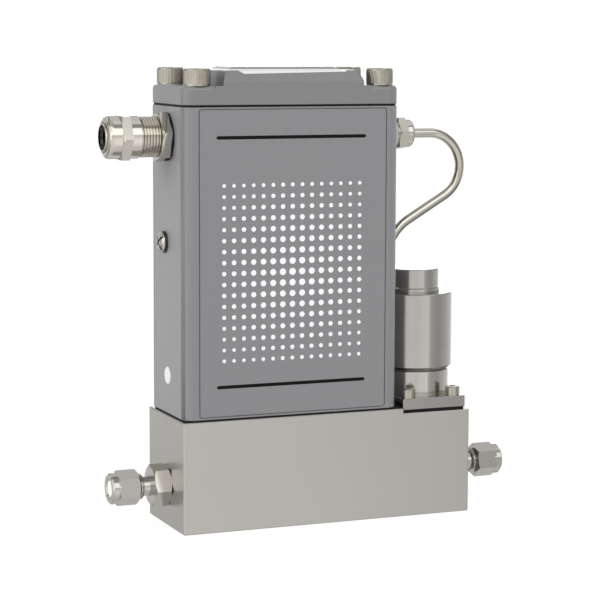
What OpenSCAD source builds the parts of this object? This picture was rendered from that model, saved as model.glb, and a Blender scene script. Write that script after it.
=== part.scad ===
// Mass flow controller for gas lines.
// A machined flow body carries a sealed electronics housing on its left part and a
// solenoid control valve on its right part. Gas runs from left to right along X.
// The origin is the middle of the flow body's underside. +Y points to the back.

/* [Flow body] */
// Depth of the flow body, front to back
body_w = 50; // [44:0.5:60]
// Height of the flow body
body_h = 52; // [50:0.5:60]
// Chamfer on the edges of the flow body
body_edge = 0.5; // [0.2:0.1:0.8]
// Gap between the shoulder of the milled step and the valve's foot plate
step_gap = 0.2; // [0.1:0.05:0.8]
// Drop of the milled step
step_drop = 2.35; // [1.5:0.05:3.5]
// Height of the gas passage above the underside
flow_z = 19.2; // [18:0.1:21]
// Diameter of the bypass bore that holds the flow element
bypass_d = 12.6; // [11:0.1:13]
// Diameter of the drilled gas passages
passage_d = 6; // [4:0.1:6.4]
// Spacing of the tapped base holes along the body
base_pitch_x = 108; // [90:1:118]
// Spacing of the tapped base holes across the body
base_pitch_y = 34; // [30:1:38]
// Tapping diameter of the base holes
base_hole_d = 3.3; // [2.5:0.1:4.2]
// Depth of the base holes
base_hole_depth = 8; // [6:0.5:9]

/* [Tube fittings] */
// Outer diameter of the tube that the fittings take
line_tube_d = 6.35; // [6:0.01:6.4]
// Spanner size of the fitting body
fitting_hex = 17.46; // [17:0.02:20]
// Thickness of the fitting body's hexagon
fitting_hex_t = 7.9; // [6:0.1:10]
// Spanner size of the fitting nut
nut_hex = 14.29; // [14:0.01:17]
// Length of the fitting nut
nut_l = 13.3; // [12.6:0.1:15]
// Diameter of the thread that screws into the flow body
port_thread_d = 14.2; // [13.8:0.1:15]

/* [Housing] */
// Length of the electronics housing
housing_l = 106.2; // [90:0.2:130]
// Inset of the housing from the front and back of the flow body
housing_side = 0.4; // [0:0.1:1]
// Height of the electronics housing, without its gaskets
housing_h = 142; // [140:0.2:160]
// Inset of the housing from the flow body's left end
housing_inset = 0.9; // [0.6:0.1:1.4]
// Wall of the housing
housing_wall = 3.2; // [2.6:0.1:3.6]
// Floor of the housing
housing_floor = 4; // [3:0.1:5]
// Radius of the housing's upright corners
housing_r = 5.5; // [4:0.1:6]
// Thickness of the gasket between housing and flow body
base_gasket_t = 0.9; // [0.5:0.1:1.5]
// Thickness of the gasket under the cover
cover_gasket_t = 1; // [0.5:0.1:1.5]
// Margin between the label plate and the housing's ends
label_side = 7.3; // [6:0.1:14]
// Margin between the label plate and the housing's top and bottom
label_edge = 1.2; // [1:0.1:12]
// Thickness of the label plate
label_t = 0.5; // [0.3:0.1:1]

/* [Cover] */
// Height of the cover's rim above its gasket
rim_h = 8.5; // [7:0.1:9]
// Radius along the top edge of the rim
rim_edge_r = 2; // [1:0.1:2.5]
// Height of the cover's raised middle above the rim
raise_h = 6.9; // [6:0.1:8]
// Distance from the raised middle's foot to the housing's ends
raise_end = 14.1; // [13:0.1:17]
// Height of the bevelled pad on the raised middle
pad_h = 1.4; // [0.8:0.1:2]
// Distance of the cover screws from the housing's ends
cover_screw_end = 8.1; // [7.6:0.1:9]
// Distance of the cover screws from the housing's front and back
cover_screw_side = 6.1; // [5.9:0.1:7]
// Radius of the scallops around the cover screws
scallop_r = 12; // [10:0.1:12.5]
// Head diameter of the cover screws
cover_head_d = 12.2; // [11:0.1:13]
// Head height of the cover screws
cover_head_h = 7.8; // [6:0.1:8]
// Shank diameter of the cover screws
cover_shank_d = 6; // [5:0.1:6.5]

/* [Cable gland] */
// Depth of both glands below the top of the housing
gland_drop = 14; // [13:0.1:22]
// Thread diameter of the cable gland
gland_thread_d = 18.6; // [17:0.1:19]
// Thread pitch of the cable gland
gland_pitch = 1.41; // [1.2:0.01:1.6]
// Spanner size of the cable gland's body
gland_body_hex = 21; // [20:0.1:22]
// Spanner size of the cable gland's dome nut
gland_nut_hex = 20; // [19.4:0.1:21.4]
// Hole for the cable in the rubber seal
cable_hole_d = 8; // [5:0.1:9]

/* [Valve] */
// Gap between the housing and the coil can
can_gap = 0.9; // [0.5:0.1:2]
// Inset of the valve's foot plate from the sides of the coil can
plate_inset = 2.05; // [0.5:0.05:3]
// Inset of the valve's foot plate from the front and back of the flow body
plate_side = 0.5; // [0.2:0.1:1.2]
// Thickness of the valve's foot plate
plate_t = 5.5; // [4.5:0.1:6]
// Slot between the foot plate and the milled step
plate_gap = 1.25; // [0.8:0.05:1.6]
// Step from the coil can in to the turned neck
neck_step = 1.4; // [1:0.1:2]
// Height of the turned neck
neck_h = 11; // [10:0.1:13]
// Diameter of the coil can
can_d = 36.6; // [33:0.1:44]
// Height of the coil can
can_h = 36.6; // [35:0.1:40]
// Diameter of the cap that holds the coil can down
cap_d = 23.6; // [22:0.1:24]
// Height of the cap
cap_h = 11.3; // [9:0.1:14]
// Lift of the valve plunger
plunger_lift = 0.4; // [0.2:0.05:0.5]
// Diameter of the valve plunger
plunger_d = 12; // [10:0.1:12]

/* [Conduit] */
// Outer diameter of the conduit tube
conduit_d = 4.4; // [3.8:0.1:4.6]
// Wall of the conduit tube
conduit_wall = 0.5; // [0.3:0.05:0.8]
// Radius of the conduit's large bend
conduit_bend = 16.2; // [15:0.1:18]
// Slope of the conduit's straight run
conduit_slope = 30.5; // [28:0.5:34]
// Length of the conduit's straight run
conduit_run = 22.4; // [18:0.1:25]

/* [Hidden] */
$fn = 64;
hair = 0.01;
edge = 0.4;
slip = 0.05;
snug = 0.02;
seat_gap = 0.1;
hole_play = 0.2;

// The flow body is as long as the housing and the coil can beside it
body_l = housing_inset + housing_l + can_gap + can_d;
body_end = body_l / 2;
housing_w = body_w - 2 * housing_side;
housing_left = -body_end + housing_inset;
housing_right = housing_left + housing_l;
housing_x = housing_left + housing_l / 2;
step_z = body_h - step_drop;

// Tube fittings, measured outward from the flow body's end face
port_depth = 12;
port_thread_l = 11;
port_r = port_thread_d / 2 + slip;
oring_wire = 2;
oring_seat = oring_wire + 0.2;
oring_seat_r = port_r + 1.3;
line_bore_r = line_tube_d / 2 + slip;
line_stop_r = 2.3;
fitting_neck_r = 4.6;
fitting_thread_r = 5.4;
fitting_thread_start = fitting_hex_t + 4.7;
fitting_end = fitting_thread_start + 6.6;
fitting_turn = -22;
fitting_stop = fitting_end - 9.6;
ferrule_mouth_r = 4.5;
ferrule_mouth_l = 2.4;
nut_start = fitting_end - 4.6;
nut_end = nut_start + nut_l;
nut_collar = 3.1;
nut_turn = -9;
ferrule_r = 4.6;
ferrule_end = fitting_end + 3.4;

// Flow element
filter_t = 2.4;
element_l = 52;
element_gap = 0.04;
bypass_start = -body_end + port_depth;
element_x0 = bypass_start + filter_t + 1.2;
bypass_end = element_x0 + element_l + 3;
flutes = 12;
flute_w = 0.9;
flute_depth = 1.6;
element_ring = 5;

// Valve
valve_x = body_end - can_d / 2;
plate_l = can_d - 2 * plate_inset;
plate_w = body_w - 2 * plate_side;
step_x = valve_x - plate_l / 2 - step_gap;
neck_d = can_d - 2 * neck_step;
pocket_r = 12.2;
pocket_z = step_z - 11.65;
plate_z0 = step_z + plate_gap;
plate_z1 = plate_z0 + plate_t;
neck_z1 = plate_z1 + neck_h;
can_seal_t = 0.8;
can_z0 = neck_z1 + can_seal_t;
can_z1 = can_z0 + can_h;
can_wall = 2.1;
can_lid = 3.8;
cap_z1 = can_z1 + cap_h;
spigot_r = pocket_r - slip;
spigot_cavity_r = 8.6;
spigot_cavity_h = 8;
plunger_r = plunger_d / 2;
stem_bore_r = plunger_r + slip;
stem_r = stem_bore_r + 1;
stem_z0 = pocket_z + 14;
pole_z = can_z0 + 16;
stem_z1 = can_z1 - seat_gap;
stud_r = 4;
stud_z1 = can_z1 + cap_h - 3;
plunger_z1 = pole_z - plunger_lift - 0.1;
seat_disc_r = 3;
seat_disc_t = 1.6;
nozzle_z = pocket_z + 2.5;
nozzle_r = 1.6;
nozzle_bore_r = 0.6;
orifice_r = 4;
orifice_flange_r = 5.2;
orifice_flange_t = 1.4;
orifice_l = 4.5;
spring_bore_r = 3.2;
spring_depth = 14;
spring_wire = 0.7;
spring_coils = 7;
spool_flange_t = 1.2;
spool_wall = 1;
plate_screw_inset = 4.6;
plate_gasket_inset = 2.9;
plate_head_d = 6.8;
plate_head_h = 4.2;
plate_shank_d = 4;
plate_screw_l = 14;
riser_x = valve_x - 6.6;
riser_lean = 32;

// Housing
housing_z0 = body_h + base_gasket_t;
housing_z1 = housing_z0 + housing_h;
gasket_inset = 0.5;
boss_r = 6;
cover_tap_depth = 14;
foot_pitch_x = housing_l - 22.2;
foot_pitch_y = housing_w - 17.2;
foot_screw_d = 4;
foot_head_d = 7;
foot_head_h = 4;
foot_screw_l = 12;
label_gap = 0.45;
label_r = 1;
label_w = housing_l - 2 * label_side;
label_h = housing_h - 2 * label_edge;
label_z = housing_z0 + label_edge;
gland_z = housing_z1 - gland_drop;

// Cover
cover_z0 = housing_z1 + cover_gasket_t;
rim_z = cover_z0 + rim_h;
cover_pitch_x = housing_l - 2 * cover_screw_end;
cover_pitch_y = housing_w - 2 * cover_screw_side;
raise_l = housing_l - 2 * raise_end;
crease_h = 2.3;
raise_setback = 2.6;
scallop_draft = 0.9;
pad_l = raise_l - 22;
pad_w = housing_w - 23.2;
pad_bevel = 3;
cover_wall = 3;
lip_gap = 0.3;

// Cable gland, measured outward from the housing wall
gland_seal_t = 1;
gland_hex_t = 4.4;
gland_hex_x = gland_seal_t + gland_hex_t;
gland_body_turn = 19;
gland_skirt_x = 14.2;
gland_nut_x0 = 19.2;
gland_nut_x1 = 23.7;
gland_nut_turn = 33;
gland_face_x = 30;
gland_lip_x = 30.8;
gland_skirt_r = gland_nut_hex / 2 - 0.2;
gland_round_r = 2.3;
gland_mouth_r = 5.8;
gland_inner_r = 6.6;
gland_tail = 10;
gland_ridge = 0.75;
gland_core_r = gland_thread_d / 2 - gland_ridge;
locknut_t = 3.4;

// Conduit gland, measured outward from the housing wall
small_thread_r = 6;
small_hex = 14;
small_hex_t = 6.4;
small_hex_turn = 21;
small_skirt_x = 8;
small_nut_x0 = 8.4;
small_nut_x1 = 12.7;
small_face_x = 16.4;
small_cap_r = 6.6;
small_round_r = 1.2;
small_tail = 8;

// Conduit
conduit_r = conduit_d / 2;
conduit_port_r = can_d / 2 - 3.5;
conduit_port_x = valve_x - conduit_port_r;
conduit_dip = 3;
conduit_start = housing_right - small_tail + 2;
conduit_lap = 0.05;
bend_x = housing_right + 26.8;
bend_z = gland_z - conduit_bend;
run_start = [bend_x + conduit_bend * sin(conduit_slope), bend_z - conduit_bend * cos(conduit_slope)];
run_end = run_start - conduit_run * [cos(conduit_slope), sin(conduit_slope)];
drop_bend = (run_end[0] - conduit_port_x) / (1 - sin(conduit_slope));
drop_z = run_end[1] - drop_bend * cos(conduit_slope);

// Sensor
sensor_x0 = element_x0 + 9;
sensor_span = 34;
sensor_mid = sensor_x0 + sensor_span / 2;
sensor_base_l = 58;
sensor_base_w = 16;
sensor_base_h = 10;
sensor_port_r = 1.2;
sensor_seat_r = 3.1;
sensor_seat_h = 1.4;
capillary_r = 0.6;
capillary_bend = 4;
capillary_z = body_h + sensor_base_h + 14;
winding_r = 1.8;
winding_l = 9;
winding_gap = 2;
sensor_can_h = 22;
sensor_can_l = 46;
sensor_can_w = 14;
sensor_can_wall = 1.2;
sensor_screw_x = 26;
floor_open_l = sensor_base_l + 4;
floor_open_w = sensor_base_w + 2;
small_screw_d = 3;
small_head_d = 5.5;

// Circuit board
board_l = housing_l - 22.2;
board_h = housing_h - 30.4;
board_t = 1.6;
board_y = housing_w / 2 - housing_wall - 10.4;
board_z = housing_z0 + 17;
board_inset = 5;
board_row = (board_h - 12) / 5;
pillar_r = 3.4;
board_hole_r = small_screw_d / 2 + 0.1;

// Wall fittings on the left face
ground_y = 3.4;
ground_rise = 80.3;
ground_head_d = 10.2;
ground_head_h = 2.4;
ground_washer_t = 0.8;
ground_shank_d = 5;
ground_shank_l = 10;
plug_rise = 18.5;
plug_d = 8.3;
plug_proud = 0.3;

STEEL = "#b3b0aa";
NICKEL = "#c4bfb2";
PAINT = "#8c8d90";
RUBBER = "#202022";

// Shared shapes

module rounded_rect(l, w, r) {
    square([l - 2 * r, w], center = true);
    square([l, w - 2 * r], center = true);
    for (sx = [-1, 1], sy = [-1, 1])
        translate([sx * (l / 2 - r), sy * (w / 2 - r)]) circle(r);
}

module chamfered_rect(l, w, c) {
    polygon([
        [-l / 2 + c, -w / 2], [l / 2 - c, -w / 2], [l / 2, -w / 2 + c], [l / 2, w / 2 - c],
        [l / 2 - c, w / 2], [-l / 2 + c, w / 2], [-l / 2, w / 2 - c], [-l / 2, -w / 2 + c]
    ]);
}

// A box whose twelve edges are chamfered, standing on z = 0
module chamfered_box(l, w, h, c) {
    translate([0, 0, h / 2]) intersection() {
        linear_extrude(h, center = true) chamfered_rect(l, w, c);
        rotate([90, 0, 0]) linear_extrude(w, center = true) chamfered_rect(l, h, c);
        rotate([90, 0, 90]) linear_extrude(l, center = true) chamfered_rect(w, h, c);
    }
}

// A slab with upright corners of radius r and a rounded top edge of radius e
module rounded_slab(l, w, h, r, e) {
    linear_extrude(h - e) rounded_rect(l, w, r);
    linear_extrude(h) rounded_rect(l - 2 * e, w - 2 * e, r - e);
    for (side = [-1, 1]) {
        translate([0, side * (w / 2 - e), h - e])
            rotate([0, 90, 0]) cylinder(r = e, h = l - 2 * r, center = true);
        translate([side * (l / 2 - e), 0, h - e])
            rotate([90, 0, 0]) cylinder(r = e, h = w - 2 * r, center = true);
    }
    for (sx = [-1, 1], sy = [-1, 1])
        translate([sx * (l / 2 - r), sy * (w / 2 - r), h - e])
            rotate_extrude() translate([r - e, 0]) circle(e);
}

// A solid turned about the X axis from points given as [radius, x]
module turned_x(points) {
    rotate([0, 90, 0]) rotate_extrude() polygon(points);
}

module rod_x(r, x0, x1) {
    translate([x0, 0, 0]) rotate([0, 90, 0]) cylinder(r = r, h = x1 - x0);
}

module ring_z(r_out, r_in, z0, z1) {
    translate([0, 0, z0]) difference() {
        cylinder(r = r_out, h = z1 - z0);
        translate([0, 0, -1]) cylinder(r = r_in, h = z1 - z0 + 2);
    }
}

// An O-ring of the given middle radius and wire
module oring(mid_r, wire) {
    rotate_extrude() translate([mid_r, 0]) circle(wire / 2);
}

// A hexagon along X with turned-down corners at the ends that are asked for
module hex_x(across, x0, x1, start_cut, end_cut, turn) {
    corner = across / sqrt(3);
    cut = 0.95 * (corner - across / 2);
    depth = cut * 0.6;
    intersection() {
        translate([x0, 0, 0]) rotate([0, 90, 0]) rotate([0, 0, turn])
            cylinder(r = corner, h = x1 - x0, $fn = 6);
        turned_x([
            [0, x0], [corner - start_cut * cut, x0], [corner, x0 + start_cut * depth + hair],
            [corner, x1 - end_cut * depth - hair], [corner - end_cut * cut, x1], [0, x1]
        ]);
    }
}

// A socket head cap screw whose head sits on z = 0 and whose shank points down
module cap_screw(head_d, head_h, shank_d, shank_l, socket) {
    difference() {
        rotate_extrude() polygon([
            [0, -shank_l], [shank_d / 2 - edge, -shank_l], [shank_d / 2, -shank_l + edge],
            [shank_d / 2, 0], [head_d / 2, 0], [head_d / 2, head_h - edge],
            [head_d / 2 - edge, head_h], [0, head_h]
        ]);
        translate([0, 0, head_h * 0.45]) cylinder(d = socket / cos(30), h = head_h, $fn = 6);
    }
}

// Four places set out on a rectangle
module at_corners(dx, dy) {
    for (sx = [-1, 1], sy = [-1, 1]) translate([sx * dx / 2, sy * dy / 2, 0]) children();
}

// Points of a rounded outer corner of a turned piece, from its side to its end face at x
function rounded_end(r, x, round_r) =
    [for (a = [0:15:90]) [r - round_r + round_r * cos(a), x - round_r + round_r * sin(a)]];

// A screw thread drawn as even ridges, as [radius, x] points from x0 to x1
function ridges(r, depth, pitch, x0, x1) =
    let (n = floor((x1 - x0) / pitch))
    [for (i = [0:n - 1]) each [
        [r - depth, x0 + i * pitch], [r, x0 + (i + 0.35) * pitch], [r, x0 + (i + 0.55) * pitch],
        [r - depth, x0 + (i + 0.9) * pitch]
    ]];

// Flow body and what it holds

module flow_port() {
    rod_x(port_r, body_end - port_depth, body_end + 1);
    rod_x(oring_seat_r, body_end - oring_seat, body_end + 1);
}

module gas_passages() {
    translate([0, 0, flow_z]) {
        flow_port();
        mirror([1, 0, 0]) flow_port();
        rod_x(bypass_d / 2, bypass_start - 1, bypass_end);
        rod_x(passage_d / 2, bypass_end - 1, riser_x - tan(riser_lean) * (pocket_z - flow_z));
        rod_x(passage_d / 2, valve_x - passage_d / 2, body_end - port_depth + 1);
    }
    translate([riser_x, 0, pocket_z]) rotate([0, riser_lean, 0])
        translate([0, 0, -(pocket_z - flow_z) / cos(riser_lean)])
            cylinder(r = 2, h = (pocket_z - flow_z) / cos(riser_lean) + 1);
    for (x = [sensor_x0, sensor_x0 + sensor_span]) translate([x, 0, 0]) {
        translate([0, 0, flow_z]) cylinder(r = sensor_port_r, h = body_h);
        translate([0, 0, body_h - sensor_seat_h]) cylinder(r = sensor_seat_r, h = sensor_seat_h + 1);
    }
}

module valve_pocket() {
    translate([valve_x, 0, 0]) {
        translate([0, 0, pocket_z]) cylinder(r = pocket_r, h = body_h);
        translate([0, 0, pocket_z - orifice_l]) cylinder(r = orifice_r + slip, h = orifice_l + 1);
        translate([0, 0, flow_z]) cylinder(r = passage_d / 2 - 0.4, h = pocket_z - flow_z);
        at_corners(plate_l - 2 * plate_screw_inset, plate_w - 2 * plate_screw_inset)
            translate([0, 0, plate_z1 - plate_screw_l - 2])
                cylinder(r = plate_shank_d / 2 + slip, h = body_h);
    }
}

module flow_body() {
    color(STEEL) difference() {
        chamfered_box(body_l, body_w, body_h, body_edge);
        translate([step_x, -body_w, step_z]) cube([body_l, 2 * body_w, body_h]);
        gas_passages();
        valve_pocket();
        at_corners(base_pitch_x, base_pitch_y) translate([0, 0, -1])
            cylinder(d = base_hole_d, h = base_hole_depth + 1);
        translate([housing_x, 0, body_h - foot_screw_l]) at_corners(foot_pitch_x, foot_pitch_y)
            cylinder(r = foot_screw_d / 2 + slip, h = foot_screw_l + 1);
        for (side = [-1, 1]) translate([sensor_mid + side * sensor_screw_x, 0, body_h - 7])
            cylinder(r = small_screw_d / 2 + slip, h = 8);
    }
}

module inlet_filter() {
    color("#9a958c") translate([0, 0, flow_z]) difference() {
        rod_x(bypass_d / 2 - element_gap, bypass_start, bypass_start + filter_t);
        for (a = [0:60:300]) rotate([a, 0, 0]) translate([0, 3.4, 0])
            rod_x(0.7, bypass_start - 1, bypass_start + filter_t + 1);
    }
}

// Laminar flow element: a core with long flutes between two guide rings
module flow_element() {
    r = bypass_d / 2 - element_gap;
    groove = 1.5;
    color(STEEL) translate([0, 0, flow_z]) difference() {
        rod_x(r, element_x0, element_x0 + element_l);
        for (i = [0:flutes - 1]) rotate([i * 360 / flutes, 0, 0])
            translate([element_x0 - 1, r - flute_depth, -flute_w / 2])
                cube([element_l + 2, flute_depth + 1, flute_w]);
        rod_x(2, element_x0 - 1, element_x0 + element_l - 8);
        difference() {
            rod_x(r + 1, element_x0 + element_ring, element_x0 + element_ring + groove);
            rod_x(r - 1.1, element_x0, element_x0 + element_l);
        }
        difference() {
            rod_x(r + 1, element_x0 + 14, element_x0 + element_l - element_ring);
            rod_x(r - 0.6, element_x0, element_x0 + element_l);
        }
    }
}

module flow_element_oring() {
    wire = 1;
    color(RUBBER) translate([element_x0 + element_ring + 0.75, 0, flow_z]) rotate([0, 90, 0])
        oring(bypass_d / 2 - element_gap - 0.56, wire);
}

// Tube fittings, drawn at the right end of the flow body

module fitting_body() {
    color(STEEL) translate([body_end, 0, flow_z]) difference() {
        union() {
            hex_x(fitting_hex, 0, fitting_hex_t, 1, 1, fitting_turn);
            rod_x(port_r - slip - 1.1, -oring_seat - hair, hair);
            rod_x(port_r - slip, -port_thread_l, -oring_seat);
            rod_x(fitting_neck_r, fitting_hex_t - hair, fitting_thread_start);
            rod_x(fitting_thread_r, fitting_thread_start - hair, fitting_end);
        }
        turned_x([
            [0, -port_thread_l - 1], [line_stop_r, -port_thread_l - 1], [line_stop_r, fitting_stop],
            [line_bore_r, fitting_stop], [line_bore_r, fitting_end - ferrule_mouth_l],
            [ferrule_mouth_r, fitting_end], [ferrule_mouth_r, fitting_end + 1], [0, fitting_end + 1]
        ]);
    }
}

module fitting_nut() {
    thread_r = fitting_thread_r + slip;
    collar_r = nut_hex / 2 + 0.1;
    color(STEEL) translate([body_end, 0, flow_z]) difference() {
        union() {
            hex_x(nut_hex, nut_start, nut_end - nut_collar, 1, 1, nut_turn);
            turned_x([
                [0, nut_end - nut_collar - 1], [collar_r, nut_end - nut_collar - 1],
                [collar_r, nut_end - 0.8], [collar_r - 0.8, nut_end], [0, nut_end]
            ]);
        }
        turned_x([
            [0, nut_start - 1], [thread_r + 0.4, nut_start - 1], [thread_r + 0.4, nut_start],
            [thread_r, nut_start + 0.4], [thread_r, ferrule_end + slip],
            [line_bore_r + slip, ferrule_end + slip],
            [line_bore_r + slip, nut_end - 1.6], [line_bore_r + 1.5, nut_end + hair], [0, nut_end + hair]
        ]);
    }
}

module front_ferrule() {
    tip = fitting_end - ferrule_mouth_l + 0.5;
    back = fitting_end + 1.2;
    slope = (ferrule_mouth_r - line_bore_r) / ferrule_mouth_l;
    color(STEEL) translate([body_end, 0, flow_z]) turned_x([
        [line_bore_r, tip], [line_bore_r + 0.5 * slope - slip, tip],
        [ferrule_mouth_r - slip, fitting_end], [ferrule_r, fitting_end + 0.2],
        [ferrule_r, back], [line_bore_r, back]
    ]);
}

module back_ferrule() {
    front = fitting_end + 1.2 + 0.02;
    color(STEEL) translate([body_end, 0, flow_z]) turned_x([
        [line_bore_r, front], [ferrule_r - 0.5, front], [ferrule_r, front + 0.8],
        [ferrule_r, ferrule_end], [line_bore_r, ferrule_end]
    ]);
}

module fitting_oring() {
    color(RUBBER) translate([body_end - oring_seat / 2, 0, flow_z]) rotate([0, 90, 0])
        oring((oring_seat_r + port_r - slip - 1.1) / 2, oring_wire);
}

module inlet_fitting() { mirror([1, 0, 0]) fitting_body(); }
module inlet_nut() { mirror([1, 0, 0]) fitting_nut(); }
module inlet_front_ferrule() { mirror([1, 0, 0]) front_ferrule(); }
module inlet_back_ferrule() { mirror([1, 0, 0]) back_ferrule(); }
module inlet_oring() { mirror([1, 0, 0]) fitting_oring(); }
module outlet_fitting() { fitting_body(); }
module outlet_nut() { fitting_nut(); }
module outlet_front_ferrule() { front_ferrule(); }
module outlet_back_ferrule() { back_ferrule(); }
module outlet_oring() { fitting_oring(); }

// Thermal sensor on top of the flow body, inside the housing

module sensor_base() {
    color(STEEL) translate([sensor_mid, 0, body_h]) difference() {
        linear_extrude(sensor_base_h) rounded_rect(sensor_base_l, sensor_base_w, 2);
        for (side = [-1, 1]) {
            translate([side * sensor_span / 2, 0, -1]) cylinder(r = sensor_port_r, h = sensor_base_h / 2 + 1);
            translate([side * sensor_span / 2, 0, 0])
                cylinder(r = capillary_r + snug, h = sensor_base_h + 1);
            translate([side * sensor_screw_x, 0, -1])
                cylinder(r = small_screw_d / 2 + hole_play, h = sensor_base_h + 2);
        }
    }
}

module sensor_orings() {
    color(RUBBER) for (x = [sensor_x0, sensor_x0 + sensor_span])
        translate([x, 0, body_h - sensor_seat_h / 2]) oring(sensor_seat_r - 0.8, 1.36);
}

module sensor_screws() {
    color(NICKEL) for (side = [-1, 1])
        translate([sensor_mid + side * sensor_screw_x, 0, body_h + sensor_base_h])
            cap_screw(small_head_d, 3, small_screw_d, sensor_base_h + 6, 2.5);
}

// Capillary: two legs and a bridge with a true bend at each corner
module sensor_tube() {
    foot = body_h + sensor_base_h / 2;
    color(NICKEL) translate([sensor_mid, 0, 0]) for (side = [0, 1]) mirror([side, 0, 0]) {
        half = sensor_span / 2;
        translate([half, 0, foot]) cylinder(r = capillary_r, h = capillary_z - capillary_bend - foot);
        translate([half - capillary_bend, 0, capillary_z - capillary_bend]) rotate([90, 0, 0])
            rotate_extrude(angle = 90) translate([capillary_bend, 0]) circle(capillary_r);
        translate([0, 0, capillary_z]) rod_x(capillary_r, -hair, half - capillary_bend);
    }
}

module sensor_windings() {
    color("#b06a3a") translate([sensor_mid, 0, capillary_z]) for (side = [-1, 1])
        translate([side * (winding_gap + winding_l) / 2, 0, 0]) difference() {
            rod_x(winding_r, -winding_l / 2, winding_l / 2);
            rod_x(capillary_r + snug, -winding_l, winding_l);
        }
}

module sensor_can() {
    wall = sensor_can_wall;
    color(STEEL) translate([sensor_mid, 0, body_h + sensor_base_h]) difference() {
        linear_extrude(sensor_can_h) rounded_rect(sensor_can_l, sensor_can_w, 3);
        translate([0, 0, -1]) linear_extrude(sensor_can_h - wall + 1)
            rounded_rect(sensor_can_l - 2 * wall, sensor_can_w - 2 * wall, 3 - wall);
    }
}

// Housing

module base_gasket() {
    inset = 2 * gasket_inset;
    color(RUBBER) translate([housing_x, 0, body_h]) difference() {
        linear_extrude(base_gasket_t)
            rounded_rect(housing_l - inset, housing_w - inset, housing_r - gasket_inset);
        translate([sensor_mid - housing_x, 0, -1]) linear_extrude(base_gasket_t + 2)
            rounded_rect(floor_open_l, floor_open_w, 3);
        at_corners(foot_pitch_x, foot_pitch_y) translate([0, 0, -1])
            cylinder(r = foot_screw_d / 2 + hole_play, h = base_gasket_t + 2);
    }
}

module housing_shell() {
    inner_r = housing_r - housing_wall;
    difference() {
        linear_extrude(housing_h) rounded_rect(housing_l, housing_w, housing_r);
        translate([0, 0, housing_floor]) linear_extrude(housing_h)
            rounded_rect(housing_l - 2 * housing_wall, housing_w - 2 * housing_wall, inner_r);
    }
    intersection() {
        linear_extrude(housing_h) rounded_rect(housing_l - hair, housing_w - hair, housing_r);
        at_corners(cover_pitch_x, cover_pitch_y) translate([0, 0, housing_h - cover_tap_depth - 6])
            cylinder(r = boss_r, h = cover_tap_depth + 6);
    }
}

// Pillars on the back wall that carry the circuit board
module board_pillars() {
    back = housing_w / 2 - housing_wall;
    translate([0, 0, board_z - housing_z0 + board_h / 2]) rotate([-90, 0, 0])
        translate([0, 0, board_y + board_t]) at_corners(board_l - 2 * board_inset, board_h - 2 * board_inset)
            cylinder(r = pillar_r, h = back - board_y - board_t + hair);
}

module housing() {
    color(PAINT) translate([housing_x, 0, housing_z0]) difference() {
        union() {
            housing_shell();
            board_pillars();
            translate([0, ground_y, ground_rise - base_gasket_t])
                rod_x(5, -housing_l / 2 + 1, -housing_l / 2 + ground_shank_l + 2);
            translate([0, 0, plug_rise - base_gasket_t])
                rod_x(6.5, -housing_l / 2 + 1, -housing_l / 2 + housing_wall + 2);
        }
        at_corners(cover_pitch_x, cover_pitch_y) translate([0, 0, housing_h - cover_tap_depth])
            cylinder(r = cover_shank_d / 2 + slip, h = cover_tap_depth + 1);
        at_corners(foot_pitch_x, foot_pitch_y) translate([0, 0, -1])
            cylinder(r = foot_screw_d / 2 + hole_play, h = housing_floor + 2);
        translate([sensor_mid - housing_x, 0, -1]) linear_extrude(housing_floor + 2)
            rounded_rect(floor_open_l, floor_open_w, 3);
        translate([0, 0, gland_z - housing_z0]) {
            rod_x(gland_thread_d / 2 + slip, -housing_l / 2 - 1, -housing_l / 2 + housing_wall + 1);
            rod_x(gland_body_hex / sqrt(3) + 0.2, -housing_l / 2 + housing_wall,
                -housing_l / 2 + housing_wall + locknut_t + 1);
            rod_x(small_thread_r + slip, housing_l / 2 - housing_wall - 1, housing_l / 2 + 1);
        }
        translate([0, ground_y, ground_rise - base_gasket_t])
            rod_x(ground_shank_d / 2 + slip, -housing_l / 2 - 1, -housing_l / 2 + ground_shank_l + 1);
        translate([0, 0, plug_rise - base_gasket_t])
            rod_x(plug_d / 2 + snug, -housing_l / 2 - 1, -housing_l / 2 + housing_wall + 3);
        translate([0, -housing_w / 2 + label_t, label_z - housing_z0 + label_h / 2]) rotate([90, 0, 0])
            linear_extrude(label_t + 1)
                rounded_rect(label_w + 2 * label_gap, label_h + 2 * label_gap, label_r + label_gap);
        translate([0, 0, board_z - housing_z0 + board_h / 2]) rotate([-90, 0, 0])
            translate([0, 0, board_y]) at_corners(board_l - 2 * board_inset, board_h - 2 * board_inset)
                cylinder(r = small_screw_d / 2 + slip, h = board_t + 6);
    }
}

module label_plate() {
    color(PAINT) translate([housing_x, -housing_w / 2 + label_t, label_z + label_h / 2])
        rotate([90, 0, 0]) linear_extrude(label_t) rounded_rect(label_w, label_h, label_r);
}

module housing_screws() {
    color(NICKEL) translate([housing_x, 0, housing_z0 + housing_floor]) at_corners(foot_pitch_x, foot_pitch_y)
        cap_screw(foot_head_d, foot_head_h, foot_screw_d, foot_screw_l + 2, 3);
}

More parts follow.
